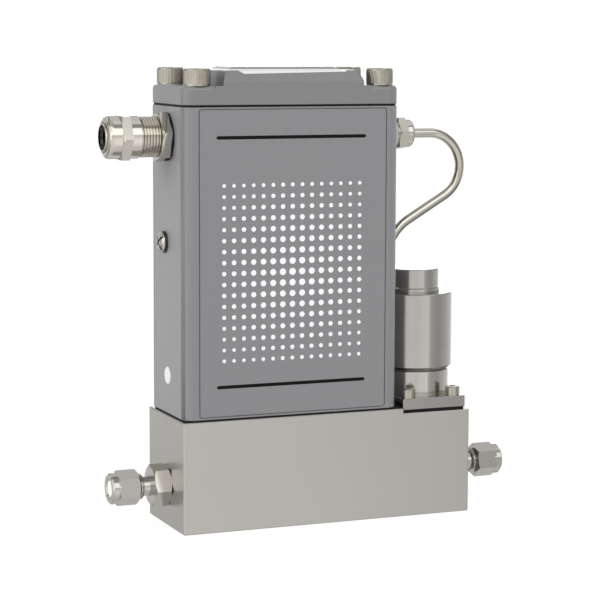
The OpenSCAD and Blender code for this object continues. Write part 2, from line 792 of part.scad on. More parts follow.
module cover_gasket() {
    inset = 2 * gasket_inset;
    wall = 2 * housing_wall;
    color(RUBBER) translate([housing_x, 0, housing_z1]) difference() {
        union() {
            difference() {
                linear_extrude(cover_gasket_t)
                    rounded_rect(housing_l - inset, housing_w - inset, housing_r - gasket_inset);
                translate([0, 0, -1]) linear_extrude(cover_gasket_t + 2)
                    rounded_rect(housing_l - wall, housing_w - wall, housing_r - housing_wall);
            }
            intersection() {
                linear_extrude(cover_gasket_t)
                    rounded_rect(housing_l - inset, housing_w - inset, housing_r - gasket_inset);
                at_corners(cover_pitch_x, cover_pitch_y) cylinder(r = boss_r, h = cover_gasket_t);
            }
        }
        at_corners(cover_pitch_x, cover_pitch_y) translate([0, 0, -1])
            cylinder(r = cover_shank_d / 2 + hole_play, h = cover_gasket_t + 2);
    }
}

// The cover's raised middle, sloped on all four sides
module cover_raise() {
    base = rim_h - rim_edge_r - 1;
    top = rim_h + raise_h;
    intersection() {
        rotate([90, 0, 90]) linear_extrude(raise_l, center = true) polygon([
            [-housing_w / 2, base], [housing_w / 2, base], [housing_w / 2, rim_h + crease_h],
            [housing_w / 2 - raise_setback, top], [-housing_w / 2 + raise_setback, top],
            [-housing_w / 2, rim_h + crease_h]
        ]);
        rotate([90, 0, 0]) linear_extrude(housing_w, center = true) polygon([
            [-raise_l / 2, base], [raise_l / 2, base], [raise_l / 2 - raise_setback, top],
            [-raise_l / 2 + raise_setback, top]
        ]);
    }
}

module cover_pad() {
    foot = rim_h + raise_h - 1;
    top = rim_h + raise_h + pad_h;
    spread = pad_bevel * (pad_h + 1) / pad_h;
    intersection() {
        rotate([90, 0, 90]) linear_extrude(pad_l + 2, center = true) polygon([
            [-pad_w / 2 + pad_bevel - spread, foot], [pad_w / 2 - pad_bevel + spread, foot],
            [pad_w / 2 - pad_bevel, top], [-pad_w / 2 + pad_bevel, top]
        ]);
        rotate([90, 0, 0]) linear_extrude(pad_w + 2, center = true) polygon([
            [-pad_l / 2 + pad_bevel - spread, foot], [pad_l / 2 - pad_bevel + spread, foot],
            [pad_l / 2 - pad_bevel, top], [-pad_l / 2 + pad_bevel, top]
        ]);
    }
}

module cover() {
    lip_out = 2 * (housing_wall + lip_gap);
    color(PAINT) translate([housing_x, 0, cover_z0]) difference() {
        union() {
            rounded_slab(housing_l, housing_w, rim_h, housing_r, rim_edge_r);
            difference() {
                cover_raise();
                at_corners(cover_pitch_x, cover_pitch_y) translate([0, 0, rim_h])
                    cylinder(r1 = scallop_r, r2 = scallop_r + scallop_draft, h = raise_h + 1);
            }
            cover_pad();
        }
        translate([0, 0, -1]) linear_extrude(rim_h - cover_wall + 1) difference() {
            rounded_rect(housing_l - lip_out, housing_w - lip_out, housing_r - housing_wall - lip_gap);
            at_corners(cover_pitch_x, cover_pitch_y) circle(boss_r);
        }
        translate([0, 0, -1]) linear_extrude(rim_h + raise_h - cover_wall + 1)
            rounded_rect(raise_l - 2 * scallop_r, housing_w - lip_out - 2, 3);
        at_corners(cover_pitch_x, cover_pitch_y) translate([0, 0, -1])
            cylinder(r = cover_shank_d / 2 + 0.3, h = rim_h + raise_h);
    }
}

module cover_screws() {
    color(NICKEL) translate([housing_x, 0, rim_z]) at_corners(cover_pitch_x, cover_pitch_y)
        cap_screw(cover_head_d, cover_head_h, cover_shank_d, rim_h + cover_gasket_t + 11, 5);
}

// Electronics

module circuit_board() {
    color("#1f6b45") translate([housing_x, board_y, board_z]) difference() {
        translate([-board_l / 2, 0, 0]) cube([board_l, board_t, board_h]);
        translate([0, 0, board_h / 2]) rotate([-90, 0, 0]) translate([0, 0, -1])
            at_corners(board_l - 2 * board_inset, board_h - 2 * board_inset)
                cylinder(r = board_hole_r, h = board_t + 2);
    }
}

module board_screws() {
    color(NICKEL) translate([housing_x, board_y, board_z + board_h / 2]) rotate([90, 0, 0])
        at_corners(board_l - 2 * board_inset, board_h - 2 * board_inset)
            cap_screw(small_head_d, 2, small_screw_d, board_t + 5, 2);
}

module terminal_block() {
    ways = 10;
    way = 5;
    deep = 10;
    tall = 12;
    place = [housing_x - ways * way / 2, board_y - deep, board_z + 4 * board_row + 2];
    color("#2f7f5f") translate(place) difference() {
        cube([ways * way, deep, tall]);
        for (i = [0:ways - 1]) translate([(i + 0.5) * way, 0, tall / 2]) {
            translate([0, -1, 0]) rotate([-90, 0, 0]) cylinder(r = 1.5, h = 6);
            translate([-1.4, 3, tall / 2 - 3]) cube([2.8, 3.4, 4]);
        }
    }
}

module capacitors() {
    r = 5;
    tall = 12.5;
    pitch = 14;
    color("#2b3a55") for (i = [0:2])
        translate([housing_x - 26 + i * pitch, board_y, board_z + 3 * board_row + 4]) rotate([90, 0, 0])
            rotate_extrude() polygon([
                [0, 0], [r - edge, 0], [r, 0.5], [r, 2], [r - 0.3, 2.4], [r, 2.8],
                [r, tall - 0.5], [r - 0.5, tall], [0, tall]
            ]);
}

module chips() {
    thick = 2.2;
    places = [[-24, 1, 12, 12], [2, 1, 18, 8], [24, 2, 10, 10], [-6, 2, 14, 6], [20, 3, 16, 12]];
    color("#26262a") for (p = places)
        translate([housing_x + p[0] - p[2] / 2, board_y - thick, board_z + p[1] * board_row])
            cube([p[2], thick, p[3]]);
}

// Ground screw and plug on the left face

module ground_washer() {
    color(NICKEL) translate([housing_left, ground_y, body_h + ground_rise]) difference() {
        rod_x(ground_head_d / 2, -ground_washer_t, 0);
        rod_x(ground_shank_d / 2 + hole_play, -2, 1);
    }
}

module ground_screw() {
    top = ground_washer_t + ground_head_h;
    r = ground_head_d / 2 - 0.5;
    color(NICKEL) translate([housing_left, ground_y, body_h + ground_rise]) difference() {
        turned_x([
            [0, -top], [r - 1.6, -top], [r - 0.4, -top + 0.7], [r, -top + 1.7], [r, -ground_washer_t],
            [ground_shank_d / 2, -ground_washer_t], [ground_shank_d / 2, ground_shank_l], [0, ground_shank_l]
        ]);
        for (a = [0, 90]) rotate([a + 20, 0, 0]) translate([-top - 1, -3, -0.5]) cube([2.2, 6, 1]);
    }
}

module side_plug() {
    r = plug_d / 2;
    color("#f2f2ee") translate([housing_left, 0, body_h + plug_rise])
        turned_x([
            [0, -plug_proud], [r - 0.5, -plug_proud], [r, 0], [r, housing_wall + 1.5], [0, housing_wall + 1.5]
        ]);
}

// Cable gland on the left face, drawn with x growing outward and then turned over

module on_left_wall() {
    translate([housing_left, 0, gland_z]) mirror([1, 0, 0]) children();
}

module gland_oring() {
    color(RUBBER) on_left_wall() difference() {
        rod_x(gland_body_hex / 2 + 0.5, 0, gland_seal_t);
        rod_x(gland_thread_d / 2 + slip, -1, gland_seal_t + 1);
    }
}

module gland_body() {
    r = gland_thread_d / 2;
    color(NICKEL) on_left_wall() difference() {
        union() {
            hex_x(gland_body_hex, gland_seal_t, gland_hex_x, 0, 1, gland_body_turn);
            rod_x(r, -gland_tail, gland_seal_t + hair);
            turned_x(concat(
                [[0, gland_hex_x - hair], [r - 0.6, gland_hex_x - hair]],
                ridges(r, gland_ridge, gland_pitch, gland_hex_x, gland_skirt_x),
                [[gland_core_r, gland_nut_x0], [0, gland_nut_x0]]
            ));
        }
        rod_x(gland_inner_r, -gland_tail - 1, gland_nut_x0 + 1);
    }
}

module gland_locknut() {
    color(NICKEL) on_left_wall() difference() {
        hex_x(gland_body_hex, -housing_wall - locknut_t, -housing_wall, 1, 0, 0);
        rod_x(gland_thread_d / 2 + slip, -housing_wall - locknut_t - 1, 0);
    }
}

module gland_seal() {
    color(RUBBER) on_left_wall() turned_x([
        [cable_hole_d / 2, gland_nut_x0 - 6], [gland_inner_r - slip, gland_nut_x0 - 6],
        [gland_inner_r - slip, gland_nut_x0 + 5], [gland_mouth_r - slip, gland_face_x - 2.6],
        [gland_mouth_r - slip, gland_lip_x - 1.6], [cable_hole_d / 2, gland_lip_x - 1.6]
    ]);
}

module gland_dome_nut() {
    r = gland_skirt_r;
    bore_r = gland_core_r + slip;
    lip_r = gland_mouth_r + 0.6;
    groove_x = gland_face_x - 0.8;
    groove = [[lip_r + 0.7, gland_face_x - 0.15], [lip_r + 0.4, groove_x], [lip_r, groove_x]];
    color(NICKEL) on_left_wall() difference() {
        union() {
            turned_x(concat(
                [[0, gland_skirt_x], [r - edge, gland_skirt_x], [r, gland_skirt_x + edge]],
                rounded_end(r, gland_face_x, gland_round_r), groove,
                [[lip_r, gland_lip_x - 0.25], [lip_r - 0.3, gland_lip_x], [0, gland_lip_x]]
            ));
            hex_x(gland_nut_hex, gland_nut_x0, gland_nut_x1, 0, 1, gland_nut_turn);
        }
        turned_x([
            [0, gland_skirt_x - 1], [bore_r, gland_skirt_x - 1], [bore_r, gland_nut_x0 + slip],
            [gland_inner_r, gland_nut_x0 + slip],
            [gland_inner_r, gland_nut_x0 + 5], [gland_mouth_r, gland_face_x - 2.6],
            [gland_mouth_r, gland_lip_x + 1], [0, gland_lip_x + 1]
        ]);
    }
}

// Conduit gland on the right face

module on_right_wall() {
    translate([housing_right, 0, gland_z]) children();
}

module conduit_oring() {
    color(RUBBER) on_right_wall() difference() {
        rod_x(small_hex / 2 + 0.3, 0, gland_seal_t);
        rod_x(small_thread_r + slip, -1, gland_seal_t + 1);
    }
}

module conduit_gland() {
    neck_x = gland_seal_t + small_hex_t;
    color(NICKEL) on_right_wall() difference() {
        union() {
            hex_x(small_hex, gland_seal_t, neck_x, 0, 1, small_hex_turn);
            rod_x(small_thread_r, -small_tail, gland_seal_t + hair);
            rod_x(small_thread_r - 0.2, neck_x - hair, small_nut_x0 + 3);
        }
        rod_x(conduit_r + slip, -small_tail - 1, small_nut_x0 + 4);
    }
}

module conduit_nut() {
    inner_r = small_thread_r - 0.2 + slip;
    color(NICKEL) on_right_wall() difference() {
        union() {
            hex_x(small_hex, small_nut_x0, small_nut_x1, 1, 1, small_hex_turn);
            turned_x(concat(
                [[0, small_skirt_x], [small_cap_r, small_skirt_x]],
                rounded_end(small_cap_r, small_face_x, small_round_r),
                [[0, small_face_x]]
            ));
        }
        rod_x(inner_r, small_skirt_x - 1, small_nut_x0 + 3 + slip);
        rod_x(conduit_r + slip, small_skirt_x, small_face_x + 1);
    }
}

// A straight length of conduit along +Z, its wall a hair thicker so that it laps the bends
module straight(length) {
    ring_z(conduit_r + hair, conduit_r - conduit_wall - hair, 0, length);
}

// A bent length of conduit in the XZ plane, which runs into the straight lengths by a small lap
module bend(centre, r, start, sweep) {
    lap = conduit_lap / r * 180 / PI;
    translate([centre[0], 0, centre[1]]) rotate([90, 0, 0]) rotate([0, 0, start - lap])
        rotate_extrude(angle = sweep + 2 * lap) translate([r, 0]) difference() {
            circle(conduit_r);
            circle(conduit_r - conduit_wall);
        }
}

module conduit_tube() {
    drop_centre = [conduit_port_x + drop_bend, drop_z];
    color(NICKEL) {
        translate([conduit_start, 0, gland_z]) rotate([0, 90, 0]) straight(bend_x - conduit_start);
        bend([bend_x, bend_z], conduit_bend, -(90 - conduit_slope), 180 - conduit_slope);
        translate([run_start[0], 0, run_start[1]]) rotate([0, -(90 + conduit_slope), 0])
            straight(conduit_run);
        bend(drop_centre, drop_bend, 90 + conduit_slope, 90 - conduit_slope);
        translate([conduit_port_x, 0, can_z1 - conduit_dip]) straight(drop_z - can_z1 + conduit_dip);
    }
}

// Control valve

module valve_base() {
    color(STEEL) translate([valve_x, 0, 0]) difference() {
        union() {
            translate([0, 0, plate_z0]) chamfered_box(plate_l, plate_w, plate_t, edge);
            translate([0, 0, plate_z0 + 2]) cylinder(d = neck_d, h = neck_z1 - plate_z0 - 2);
            translate([0, 0, pocket_z]) cylinder(r = spigot_r, h = plate_z0 - pocket_z + 1);
        }
        translate([0, 0, pocket_z - 1]) cylinder(r = spigot_cavity_r, h = spigot_cavity_h + 1);
        translate([0, 0, pocket_z]) cylinder(r = plunger_r + 0.3, h = neck_z1);
        translate([0, 0, stem_z0]) cylinder(r = stem_r, h = neck_z1);
        translate([0, 0, pocket_z + 5]) rotate_extrude() translate([spigot_r - 1.3, 0]) square([3, 2]);
        at_corners(plate_l - 2 * plate_screw_inset, plate_w - 2 * plate_screw_inset)
            union() {
                translate([0, 0, plate_z0 - 1])
                    cylinder(r = plate_shank_d / 2 + hole_play, h = plate_t + 2);
                translate([0, 0, plate_z1]) cylinder(r = plate_head_d / 2 + hole_play, h = neck_h);
            }
    }
}

module valve_gasket() {
    inset = 2 * plate_gasket_inset;
    corner_r = 5;
    color(RUBBER) translate([valve_x, 0, step_z]) difference() {
        linear_extrude(plate_gap) rounded_rect(plate_l - inset, plate_w - inset, corner_r);
        translate([0, 0, -1]) cylinder(r = pocket_r, h = plate_gap + 2);
        at_corners(plate_l - 2 * plate_screw_inset, plate_w - 2 * plate_screw_inset) translate([0, 0, -1])
            cylinder(r = plate_shank_d / 2 + hole_play, h = plate_gap + 2);
    }
}

module valve_base_oring() {
    wire = 1.3;
    color(RUBBER) translate([valve_x, 0, pocket_z + 6]) oring(spigot_r - wire / 2, wire);
}

module valve_base_screws() {
    color(NICKEL) translate([valve_x, 0, plate_z1])
        at_corners(plate_l - 2 * plate_screw_inset, plate_w - 2 * plate_screw_inset)
            cap_screw(plate_head_d, plate_head_h, plate_shank_d, plate_screw_l, 3);
}

module valve_orifice() {
    color(STEEL) translate([valve_x, 0, 0]) rotate_extrude() polygon([
        [nozzle_bore_r, pocket_z - orifice_l], [orifice_r, pocket_z - orifice_l], [orifice_r, pocket_z],
        [orifice_flange_r, pocket_z], [orifice_flange_r, pocket_z + orifice_flange_t],
        [nozzle_r + 1, pocket_z + orifice_flange_t], [nozzle_r, nozzle_z], [nozzle_bore_r, nozzle_z]
    ]);
}

module orifice_oring() {
    wire = 0.8;
    color(RUBBER) translate([valve_x, 0, pocket_z + wire / 2])
        oring(orifice_flange_r + wire / 2 + snug, wire);
}

module valve_stem() {
    color(STEEL) translate([valve_x, 0, 0]) {
        ring_z(stem_r, stem_bore_r, stem_z0, pole_z + hair);
        translate([0, 0, pole_z]) cylinder(r = stem_r, h = stem_z1 - pole_z);
        translate([0, 0, stem_z1 - hair]) cylinder(r = stud_r, h = stud_z1 - stem_z1 + hair);
    }
}

module valve_plunger() {
    foot = nozzle_z + snug;
    color("#8f9092") translate([valve_x, 0, 0]) difference() {
        translate([0, 0, foot]) cylinder(r = plunger_r, h = plunger_z1 - foot);
        translate([0, 0, foot - 1]) cylinder(r = seat_disc_r, h = seat_disc_t + 1);
        translate([0, 0, plunger_z1 - spring_depth]) cylinder(r = spring_bore_r, h = spring_depth + 1);
    }
}

module plunger_seat() {
    color("#3a2f28") translate([valve_x, 0, nozzle_z + snug]) cylinder(r = seat_disc_r, h = seat_disc_t);
}

// Helical spring swept as rings of points along a helix
module plunger_spring() {
    steps = 14;
    sides = 6;
    wire_r = spring_wire / 2;
    mid_r = spring_bore_r - 0.35 - wire_r;
    z0 = plunger_z1 - spring_depth + wire_r + snug;
    z1 = pole_z - wire_r - snug;
    count = steps * spring_coils;
    points = [for (i = [0:count], j = [0:sides - 1])
        let (a = 360 * i / steps, b = 360 * j / sides, r = mid_r + wire_r * cos(b))
        [r * cos(a), r * sin(a), z0 + (z1 - z0) * i / count + wire_r * sin(b)]];
    rings = [for (i = [0:count - 1], j = [0:sides - 1])
        let (k = (j + 1) % sides, a = i * sides, b = a + sides)
        each [[a + j, a + k, b + k], [a + j, b + k, b + j]]];
    start = [for (j = [sides - 1:-1:0]) j];
    end = [for (j = [0:sides - 1]) count * sides + j];
    color(NICKEL) translate([valve_x, 0, 0])
        polyhedron(points, concat(rings, [start], [end]));
}

module can_seal() {
    color(RUBBER) translate([valve_x, 0, 0]) ring_z(neck_d / 2 - 0.6, stem_r + slip, neck_z1, can_z0);
}

module coil_can() {
    r = can_d / 2;
    inner = r - can_wall;
    foot_r = neck_d / 2;
    color(STEEL) translate([valve_x, 0, 0]) difference() {
        rotate_extrude() polygon([
            [0, can_z0], [foot_r, can_z0], [r, can_z0 + 1.4],
            [r, can_z1 - edge], [r - edge, can_z1], [0, can_z1]
        ]);
        translate([0, 0, can_z0 + 2.4]) cylinder(r = inner, h = can_h - can_lid - 2.4);
        translate([0, 0, can_z0 - 1]) cylinder(r = stem_r + slip, h = can_h + 2);
        translate([-conduit_port_r, 0, can_z1 - conduit_dip])
            cylinder(r = conduit_r + slip, h = conduit_dip + 1);
        translate([-conduit_port_r, 0, can_z1 - can_lid - 1]) cylinder(r = 1.2, h = can_lid);
    }
}

module coil_spool() {
    z0 = can_z0 + 2.4;
    z1 = can_z1 - can_lid;
    outer = can_d / 2 - can_wall - seat_gap;
    color("#2c2c2e") translate([valve_x, 0, 0]) {
        ring_z(stem_r + slip + spool_wall, stem_r + slip, z0, z1);
        ring_z(outer, stem_r + slip + 0.5, z0, z0 + spool_flange_t);
        ring_z(outer - 4.5, stem_r + slip + 0.5, z1 - spool_flange_t, z1);
    }
}

module coil_winding() {
    z0 = can_z0 + 2.4 + spool_flange_t;
    z1 = can_z1 - can_lid - spool_flange_t;
    inner = stem_r + slip + spool_wall;
    color("#b06a3a") translate([valve_x, 0, 0]) ring_z(can_d / 2 - can_wall - 1.2, inner, z0, z1);
}

module coil_cap() {
    r = cap_d / 2;
    color(STEEL) translate([valve_x, 0, 0]) difference() {
        rotate_extrude() polygon([
            [0, can_z1], [r + 0.5, can_z1], [r + 0.5, can_z1 + 1.8], [r, can_z1 + 2.4],
            [r, cap_z1 - edge], [r - edge, cap_z1], [0, cap_z1]
        ]);
        translate([0, 0, can_z1 - 1]) cylinder(r = stud_r + slip, h = stud_z1 - can_z1 + 1 + seat_gap);
    }
}

flow_body();
inlet_filter();
flow_element();
flow_element_oring();
inlet_fitting();
inlet_nut();
inlet_front_ferrule();
inlet_back_ferrule();
inlet_oring();
outlet_fitting();
outlet_nut();
outlet_front_ferrule();
outlet_back_ferrule();
outlet_oring();
sensor_base();
sensor_orings();
sensor_screws();
sensor_tube();
sensor_windings();
sensor_can();
base_gasket();
housing();
housing_screws();
label_plate();
cover_gasket();
cover();
cover_screws();
circuit_board();
board_screws();
terminal_block();
capacitors();
chips();
ground_screw();
ground_washer();
side_plug();
gland_oring();
gland_body();
gland_locknut();
gland_seal();
gland_dome_nut();
conduit_oring();
conduit_gland();
conduit_nut();
conduit_tube();
valve_base();
valve_gasket();
valve_base_oring();
valve_base_screws();
valve_orifice();
orifice_oring();
valve_stem();
valve_plunger();
plunger_seat();
plunger_spring();
can_seal();
coil_can();
coil_spool();
coil_winding();
coil_cap();
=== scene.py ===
"""Looks for the mass flow controller: finishes, printed label, threads, knurls and studio."""
import math

import bmesh
import bpy
from mathutils import Matrix, Vector


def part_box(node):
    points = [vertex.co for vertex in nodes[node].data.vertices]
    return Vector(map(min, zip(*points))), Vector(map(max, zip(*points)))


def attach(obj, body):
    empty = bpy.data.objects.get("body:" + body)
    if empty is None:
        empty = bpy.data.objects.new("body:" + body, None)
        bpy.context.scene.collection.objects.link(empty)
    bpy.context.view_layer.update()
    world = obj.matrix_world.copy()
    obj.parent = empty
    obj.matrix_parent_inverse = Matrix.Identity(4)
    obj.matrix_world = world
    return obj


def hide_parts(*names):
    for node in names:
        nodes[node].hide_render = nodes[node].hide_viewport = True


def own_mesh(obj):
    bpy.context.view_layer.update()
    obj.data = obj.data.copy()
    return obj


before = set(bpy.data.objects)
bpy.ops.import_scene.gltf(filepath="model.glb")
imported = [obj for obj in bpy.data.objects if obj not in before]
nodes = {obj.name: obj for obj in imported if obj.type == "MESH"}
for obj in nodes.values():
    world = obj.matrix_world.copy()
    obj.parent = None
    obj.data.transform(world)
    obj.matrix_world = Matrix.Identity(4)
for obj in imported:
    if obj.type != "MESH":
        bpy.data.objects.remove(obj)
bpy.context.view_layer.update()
MM = 0.001
scene = bpy.context.scene

# Camera, from the photograph
CAMERA_PLACE = (-386.42, -936.65, 227.6)
YAW, PITCH, ROLL = (math.radians(a) for a in (22.863, -6.902, 0.279))
FOCAL_PX, FRAME_PX, SENSOR = 2152.5, 600, 36
CENTRE_PX = (326.99, 295.08)
CLIP = (0.01, 20)


def add_camera():
    ahead = Vector((math.sin(YAW) * math.cos(PITCH), math.cos(YAW) * math.cos(PITCH),
                    math.sin(PITCH)))
    right = Vector((math.cos(YAW), -math.sin(YAW), 0))
    up = right.cross(ahead)
    right, up = (math.cos(ROLL) * right + math.sin(ROLL) * up,
                 math.cos(ROLL) * up - math.sin(ROLL) * right)
    data = bpy.data.cameras.new("camera")
    data.sensor_width = SENSOR
    data.lens = FOCAL_PX / FRAME_PX * SENSOR
    data.shift_x = (FRAME_PX / 2 - CENTRE_PX[0]) / FRAME_PX
    data.shift_y = (CENTRE_PX[1] - FRAME_PX / 2) / FRAME_PX
    data.clip_start, data.clip_end = CLIP
    camera = bpy.data.objects.new("camera", data)
    scene.collection.objects.link(camera)
    turn = Matrix((right, up, -ahead)).transposed()
    camera.matrix_world = Matrix.Translation(Vector(CAMERA_PLACE) * MM) @ turn.to_4x4()
    scene.camera = camera


# Shader helpers
FLOAT, COLOUR, VECTOR = "NodeSocketFloat", "NodeSocketColor", "NodeSocketVector"
# Sockets of a colour Mix node, which shares their names with its other kinds
MIX_A, MIX_B, MIX_RESULT = 6, 7, 2
# Levels of the noise where the grain reaches its low and its high roughness
GRAIN_SPAN = (0.3, 0.7)


def add_node(tree, kind, inputs=(), **settings):
    """A node with its settings, and its inputs given as (socket, value or output socket)."""
    made = tree.nodes.new(kind)
    for name, value in settings.items():
        setattr(made, name, value)
    for socket, value in inputs:
        if isinstance(value, bpy.types.NodeSocket):
            tree.links.new(value, made.inputs[socket])
        else:
            made.inputs[socket].default_value = value
    return made


def new_group(name, inputs, outputs):
    tree = bpy.data.node_groups.new(name, "ShaderNodeTree")
    for socket, kind, value in inputs:
        made = tree.interface.new_socket(name=socket, in_out="INPUT", socket_type=kind)
        made.default_value = value
    for socket, kind in outputs:
        tree.interface.new_socket(name=socket, in_out="OUTPUT", socket_type=kind)
    return tree, add_node(tree, "NodeGroupInput"), add_node(tree, "NodeGroupOutput")


def math_node(tree, operation, *values):
    return add_node(tree, "ShaderNodeMath", list(enumerate(values)),
                    operation=operation).outputs[0]


def colour_mix(tree, factor, first, second, blend="MIX"):
    """The colour that two colours, or the sockets that give them, mix to."""
    made = add_node(tree, "ShaderNodeMix", [("Factor", factor)], data_type="RGBA",
                    blend_type=blend)
    for place, value in ((MIX_A, first), (MIX_B, second)):
        if isinstance(value, bpy.types.NodeSocket):
            tree.links.new(value, made.inputs[place])
        else:
            made.inputs[place].default_value = value
    return made.outputs[MIX_RESULT]


def tone_drift_group():
    """A base colour that drifts a little in brightness and warmth over wide soft patches."""
    tree, given, out = new_group(
        "tone_drift",
        [("Colour", COLOUR, (0.5, 0.5, 0.5, 1)), ("Patch", FLOAT, 40.0),
         ("Drift", FLOAT, 0.06), ("Warmth", FLOAT, 0.02)],
        [("Colour", COLOUR)])
    place = add_node(tree, "ShaderNodeTexCoord").outputs["Object"]
    patches = add_node(tree, "ShaderNodeTexNoise", [
        ("Vector", place), ("Scale", given.outputs["Patch"]), ("Detail", 3.0)])
    centred = add_node(tree, "ShaderNodeVectorMath", [
        (0, patches.outputs["Color"]), (1, (0.5, 0.5, 0.5))], operation="SUBTRACT")
    parts = add_node(tree, "ShaderNodeSeparateXYZ", [(0, centred.outputs[0])])
    level = add_node(tree, "ShaderNodeMath", [
        (0, parts.outputs["X"]), (1, given.outputs["Drift"]), (2, 1.0)], operation="MULTIPLY_ADD")
    warm = add_node(tree, "ShaderNodeMath", [
        (0, parts.outputs["Y"]), (1, given.outputs["Warmth"])], operation="MULTIPLY")
    red = add_node(tree, "ShaderNodeMath", [(0, level.outputs[0]), (1, warm.outputs[0])])
    blue = add_node(tree, "ShaderNodeMath", [
        (0, level.outputs[0]), (1, warm.outputs[0])], operation="SUBTRACT")
    tint = add_node(tree, "ShaderNodeCombineXYZ", [
        ("X", red.outputs[0]), ("Y", level.outputs[0]), ("Z", blue.outputs[0])])
    mixed = add_node(tree, "ShaderNodeVectorMath", [
        (0, given.outputs["Colour"]), (1, tint.outputs[0])], operation="MULTIPLY")
    tree.links.new(mixed.outputs[0], out.inputs["Colour"])
    return tree


def grain_group():
    """Grain stretched along an axis: its height for a bump, and a roughness between two limits."""
    tree, given, out = new_group(
        "grain",
        [("Run", VECTOR, (500, 500, 500)), ("Low", FLOAT, 0.2), ("High", FLOAT, 0.3)],
        [("Height", FLOAT), ("Roughness", FLOAT)])
    place = add_node(tree, "ShaderNodeTexCoord").outputs["Object"]
    stretched = add_node(tree, "ShaderNodeVectorMath", [
        (0, place), (1, given.outputs["Run"])], operation="MULTIPLY")
    lines = add_node(tree, "ShaderNodeTexNoise", [
        ("Vector", stretched.outputs[0]), ("Scale", 1.0), ("Detail", 4.0), ("Roughness", 0.6)])
    rough = add_node(tree, "ShaderNodeMapRange", [
        ("Value", lines.outputs["Fac"]), ("From Min", GRAIN_SPAN[0]), ("From Max", GRAIN_SPAN[1]),
        ("To Min", given.outputs["Low"]), ("To Max", given.outputs["High"])])
    tree.links.new(lines.outputs["Fac"], out.inputs["Height"])
    tree.links.new(rough.outputs["Result"], out.inputs["Roughness"])
    return tree


TONE_DRIFT = tone_drift_group()
GRAIN = grain_group()


def linear(*srgb):
    """An sRGB colour from 0 to 255 as the linear colour a shader takes."""
    def one(v):
        v /= 255
        return v / 12.92 if v <= 0.04045 else ((v + 0.055) / 1.055) ** 2.4
    return (*(one(v) for v in srgb), 1.0)


def finish_material(name, colour, metallic, rough, run, bump=0.15, depth=0.00003,
                    patch=40.0, drift=0.06, warmth=0.02, edge=0.0, foot=None, **sockets):
    """A finish with a drifting colour and a stretched grain.

    edge softens the corners by so many mm; foot is a height in metres and the colour below it.
    """
    made = bpy.data.materials.new(name)
    made.use_nodes = True
    made.diffuse_color = colour
    tree = made.node_tree
    tree.nodes.clear()
    tone = add_node(tree, "ShaderNodeGroup", node_tree=TONE_DRIFT)
    tone.inputs["Colour"].default_value = colour
    tone.inputs["Patch"].default_value = patch
    tone.inputs["Drift"].default_value = drift
    tone.inputs["Warmth"].default_value = warmth
    if foot:
        height, foot_colour = foot
        place = add_node(tree, "ShaderNodeTexCoord")
        parts = add_node(tree, "ShaderNodeSeparateXYZ", [("Vector", place.outputs["Object"])])
        below = math_node(tree, "LESS_THAN", parts.outputs["Z"], height)
        tree.links.new(colour_mix(tree, below, colour, foot_colour), tone.inputs["Colour"])
    grain = add_node(tree, "ShaderNodeGroup", node_tree=GRAIN)
    grain.inputs["Run"].default_value = run
    grain.inputs["Low"].default_value, grain.inputs["High"].default_value = rough
    relief = add_node(tree, "ShaderNodeBump", [
        ("Strength", bump), ("Distance", depth), ("Height", grain.outputs["Height"])])
    if edge:
        softened = add_node(tree, "ShaderNodeBevel", [("Radius", edge * MM)], samples=8)
        tree.links.new(softened.outputs["Normal"], relief.inputs["Normal"])
    shader = add_node(tree, "ShaderNodeBsdfPrincipled", [
        ("Base Color", tone.outputs["Colour"]), ("Metallic", metallic),
        ("Roughness", grain.outputs["Roughness"]), ("Normal", relief.outputs["Normal"])])
    for socket, value in sockets.items():
        shader.inputs[socket.replace("_", " ")].default_value = value
    add_node(tree, "ShaderNodeOutputMaterial", [("Surface", shader.outputs["BSDF"])])
    return made


# Top of the valve's foot plate, which is darker than the neck that rises from it
PLATE_THICKNESS = 5.5
PLATE_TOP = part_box("valve_gasket")[1].z + PLATE_THICKNESS * MM

steel_satin = finish_material(
    "steel_satin", linear(190, 187, 181), 1.0, (0.28, 0.33), (2600, 2600, 5200),
    bump=0.02, patch=16, drift=0.05, warmth=0.02, edge=0.35)
steel_plate = finish_material(
    "steel_plate", linear(190, 188, 182), 1.0, (0.15, 0.20), (2600, 2600, 5200),
    bump=0.02, patch=60, drift=0.06, warmth=0.02, edge=0.3,
    foot=(PLATE_TOP, linear(160, 158, 155)))
steel_turned_z = finish_material(
    "steel_turned_upright", linear(186, 183, 178), 1.0, (0.18, 0.25), (160, 160, 2600),
    bump=0.04, patch=160, drift=0.08)
steel_turned_x = finish_material(
    "steel_turned_along", linear(190, 187, 181), 1.0, (0.14, 0.20), (5200, 60, 60),
    bump=0.04, patch=90, drift=0.06)
nickel = finish_material(
    "nickel_plate", linear(206, 202, 192), 1.0, (0.10, 0.16), (900, 300, 300),
    bump=0.04, patch=140, drift=0.12, warmth=0.05)
nickel_dull = finish_material(
    "nickel_screw", linear(184, 178, 166), 1.0, (0.24, 0.34), (900, 900, 900),
    bump=0.06, patch=260, drift=0.25, warmth=0.08)
conduit_steel = finish_material(
    "conduit_steel", linear(196, 192, 182), 1.0, (0.09, 0.14), (900, 900, 900),
    bump=0.02, patch=90, drift=0.06, warmth=0.03)
paint = finish_material(
    "housing_paint", linear(125, 125, 127), 0.0, (0.28, 0.32), (2500, 2500, 2500),
    bump=0.01, depth=0.00002, patch=10, drift=0.02, warmth=0.01, edge=0.3)
cover_paint = finish_material(
    "cover_paint", linear(120, 120, 121), 0.0, (0.20, 0.24), (2500, 2500, 2500),
    bump=0.01, depth=0.00002, patch=12, drift=0.02, warmth=0.01, edge=0.9)
# Housing paint one step darker: painted shade for the lines along the housing's corners
painted_shade_paint = finish_material(
    "painted_shade_line", linear(114, 114, 116), 0.0, (0.28, 0.32), (2500, 2500, 2500),
    bump=0.01, depth=0.00002, patch=10, drift=0.02, warmth=0.01)
